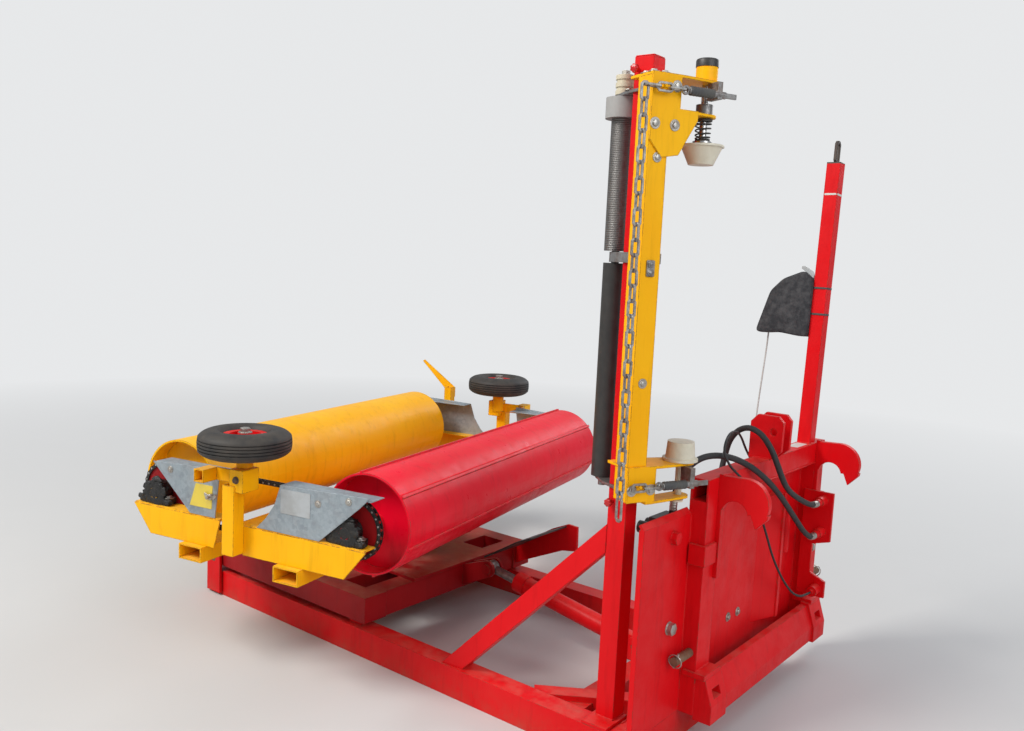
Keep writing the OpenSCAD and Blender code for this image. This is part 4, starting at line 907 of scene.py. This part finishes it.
def closedCurve(outline, corner, count):
    # each corner is a small curve between two points on its edges, and the whole line is cut in equal steps
    outline = np.asarray(outline, float)
    bends = []
    for k, point in enumerate(outline):
        ends = []
        for other in (outline[k - 1], outline[(k + 1) % len(outline)]):
            edge = other - point
            ends.append(point + edge * min(0.42, corner / np.linalg.norm(edge)))
        for t in np.linspace(0, 1, 7):
            bends.append((1 - t) ** 2 * ends[0] + 2 * t * (1 - t) * point + t ** 2 * ends[1])
    loop = np.vstack([bends, bends[:1]])
    reached = np.r_[0, np.cumsum(np.linalg.norm(np.diff(loop, axis=0), axis=1))]
    where = np.linspace(0, reached[-1], count, endpoint=False)
    return np.stack([np.interp(where, reached, loop[:, k]) for k in range(2)], 1)


def clothFolds(x, z, s):
    # soft ridges (1 - |sin|)^2 that run mostly down and aslant, each fading along its own length
    rng = np.random.default_rng(s["seed"])
    total = np.zeros_like(x)
    for _ in range(s["folds"]):
        lean = rng.uniform(-s["lean"], s["lean"])
        wave = (x * math.cos(lean) + z * math.sin(lean)) / rng.uniform(*s["wave"])
        wave = wave + s["bent"] * np.sin(z / rng.uniform(*s["bend"]) + rng.uniform(*s["phase"]))
        wave = wave + rng.uniform(*s["phase"])
        fade = 0.5 + 0.5 * np.sin(z / rng.uniform(*s["fade"]) + rng.uniform(*s["phase"]))
        total += rng.uniform(*s["weight"]) * (1 - np.abs(np.sin(wave))) ** 2 * fade
    return total / s["folds"] * s["gain"] - s["level"]


def bagShape(s, folds):
    # rings from the middle of one face out to the rim, over it and back in; thinner toward the free edge
    curve = closedCurve(s["outline"], s["corner"], s["cols"])
    middle = np.array(s["middle"])
    near, far = ([(share, side * s["half"] * (1 - s["domed"] * share ** 6), side) for share in s["shares"]]
                 for side in (-1, 1))
    points = []
    for share, y, side in near + [(share, s["half"] * out, out) for share, out in s["rim"]] + far[::-1]:
        x, z = (middle + (curve - middle) * share).T
        freeLine = s["freeSlope"] * (z - s["freeFoot"][1]) + s["freeFoot"][0]
        free = np.clip((freeLine - x) / s["freeSpan"], 0, 1) ** 1.4
        face = np.clip(abs(side), 0, 1) * min(1.0, 1.25 - share) ** 0.5
        creased = folds["depth"] * clothFolds(x + s["farShift"] * (y > 0), z, folds) * face
        inward = np.sign(y) * (creased + s["thinner"] * free * face)
        droop = s["droop"] * np.clip((s["hem"] - z) / s["hemTall"], 0, 1) * np.sin(x / s["droopWave"])
        points.append(np.stack([np.minimum(x, s["postX"]), y - inward, z + droop], 1))
    rows = len(points)
    return np.vstack(points), gridFaces(rows, s["cols"]) + endCaps(rows, s["cols"])


bag = piece("control_bag_cloth", bagShape(bagSet, foldSet), clothCoarse, "root", onBagPost,
            sharp=60)
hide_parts("control_bag")
tongue = upright([(-78, 650), (-30, 616), (-27, 630), (-34, 642), (-66, 660), (-78, 659)], 3.0, (0, -22, 0))
piece("bag_tongue", tongue, greyLabel, "root", onBagPost, bevel=0.6)
print("control bag made")

# stage and light
stageSet = dict(half=60.0, color=(0.56, 0.557, 0.55), backdrop=(0.80, 0.81, 0.82), near=1.6, far=7.5,
                worldColor=(0.90, 0.94, 1.0), worldStrength=0.5)
# each lamp: its place, what it points at, its size in metres, its power and its colour
lampSet = dict(keyLamp=((-2.5, -6.0, 7.0), (0, 0, 0.5), 3.0, 670, (1.0, 0.97, 0.92)),
               fillLamp=((6.5, -2.0, 4.0), (0.5, 0, 0.7), 4.0, 195, (0.93, 0.96, 1.0)),
               backLamp=((1.0, 7.0, 5.0), (0, 0, 0.6), 4.0, 185, (0.95, 0.97, 1.0)))


def makeFloor(s):  # a square floor of one plain colour with a faint grain
    corners = [(x * s["half"], y * s["half"], 0) for x, y in ((-1, -1), (1, -1), (1, 1), (-1, 1))]
    ground = bpy.data.meshes.new("floor")
    ground.from_pydata(corners, [], [(0, 1, 2, 3)])
    shade = Shading("floorFinish")
    pale = tuple(0.97 * c for c in s["color"])
    color = shade.mix(shade.noise(3.0, 4.0), s["color"], pale)
    ground.materials.append(shade.put(color=color, rough=0.9, specular=0.2))
    # seen by the camera, the floor turns into the plain backdrop between near and far
    away = shade.node("ShaderNodeVectorMath", operation="LENGTH")
    shade.join(shade.place, away.inputs[0])
    plain = shade.node("ShaderNodeEmission")
    plain.inputs["Color"].default_value = (*s["backdrop"], 1.0)
    seen = shade.node("ShaderNodeLightPath").outputs["Is Camera Ray"]
    share = shade.times(shade.between(away.outputs["Value"], s["near"], s["far"]), seen)
    blend = shade.node("ShaderNodeMixShader")
    for source, target in zip((share, shade.shader.outputs[0], plain.outputs[0]), blend.inputs):
        shade.join(source, target)
    outlet = next(node for node in shade.tree.nodes if node.type == "OUTPUT_MATERIAL")
    shade.join(blend.outputs[0], outlet.inputs["Surface"])
    floor = bpy.data.objects.new("floor", ground)
    scene.collection.objects.link(floor)


def makeWorld(s):  # the object is lit by the world's own colour, and the camera sees the backdrop's
    world = bpy.data.worlds.new("studio")
    scene.world = world
    world.use_nodes = True
    tree = world.node_tree
    back = tree.nodes["Background"]
    back.inputs["Color"].default_value = (*s["worldColor"], 1.0)
    back.inputs["Strength"].default_value = s["worldStrength"]
    white = tree.nodes.new("ShaderNodeBackground")
    white.inputs["Color"].default_value = (*s["backdrop"], 1.0)
    white.inputs["Strength"].default_value = 1.0
    seen = tree.nodes.new("ShaderNodeLightPath").outputs["Is Camera Ray"]
    pick = tree.nodes.new("ShaderNodeMixShader")
    for source, target in zip((seen, back.outputs[0], white.outputs[0]), pick.inputs):
        tree.links.new(source, target)
    tree.links.new(pick.outputs[0], tree.nodes["World Output"].inputs["Surface"])


def lamp(name, place, target, size, power, color):  # a square lamp that faces its target
    data = bpy.data.lights.new(name, "AREA")
    data.size, data.energy, data.color = size, power, color
    made = bpy.data.objects.new(name, data)
    across, over, away = frameOf(np.array(place, float) - np.array(target, float))
    made.matrix_world = standing(across, over, away, place)
    scene.collection.objects.link(made)


makeFloor(stageSet)
makeWorld(stageSet)
for lampName, lampSpec in lampSet.items():
    lamp(lampName, *lampSpec)
scene.view_settings.view_transform = "Standard"
print("stage and lamps made")
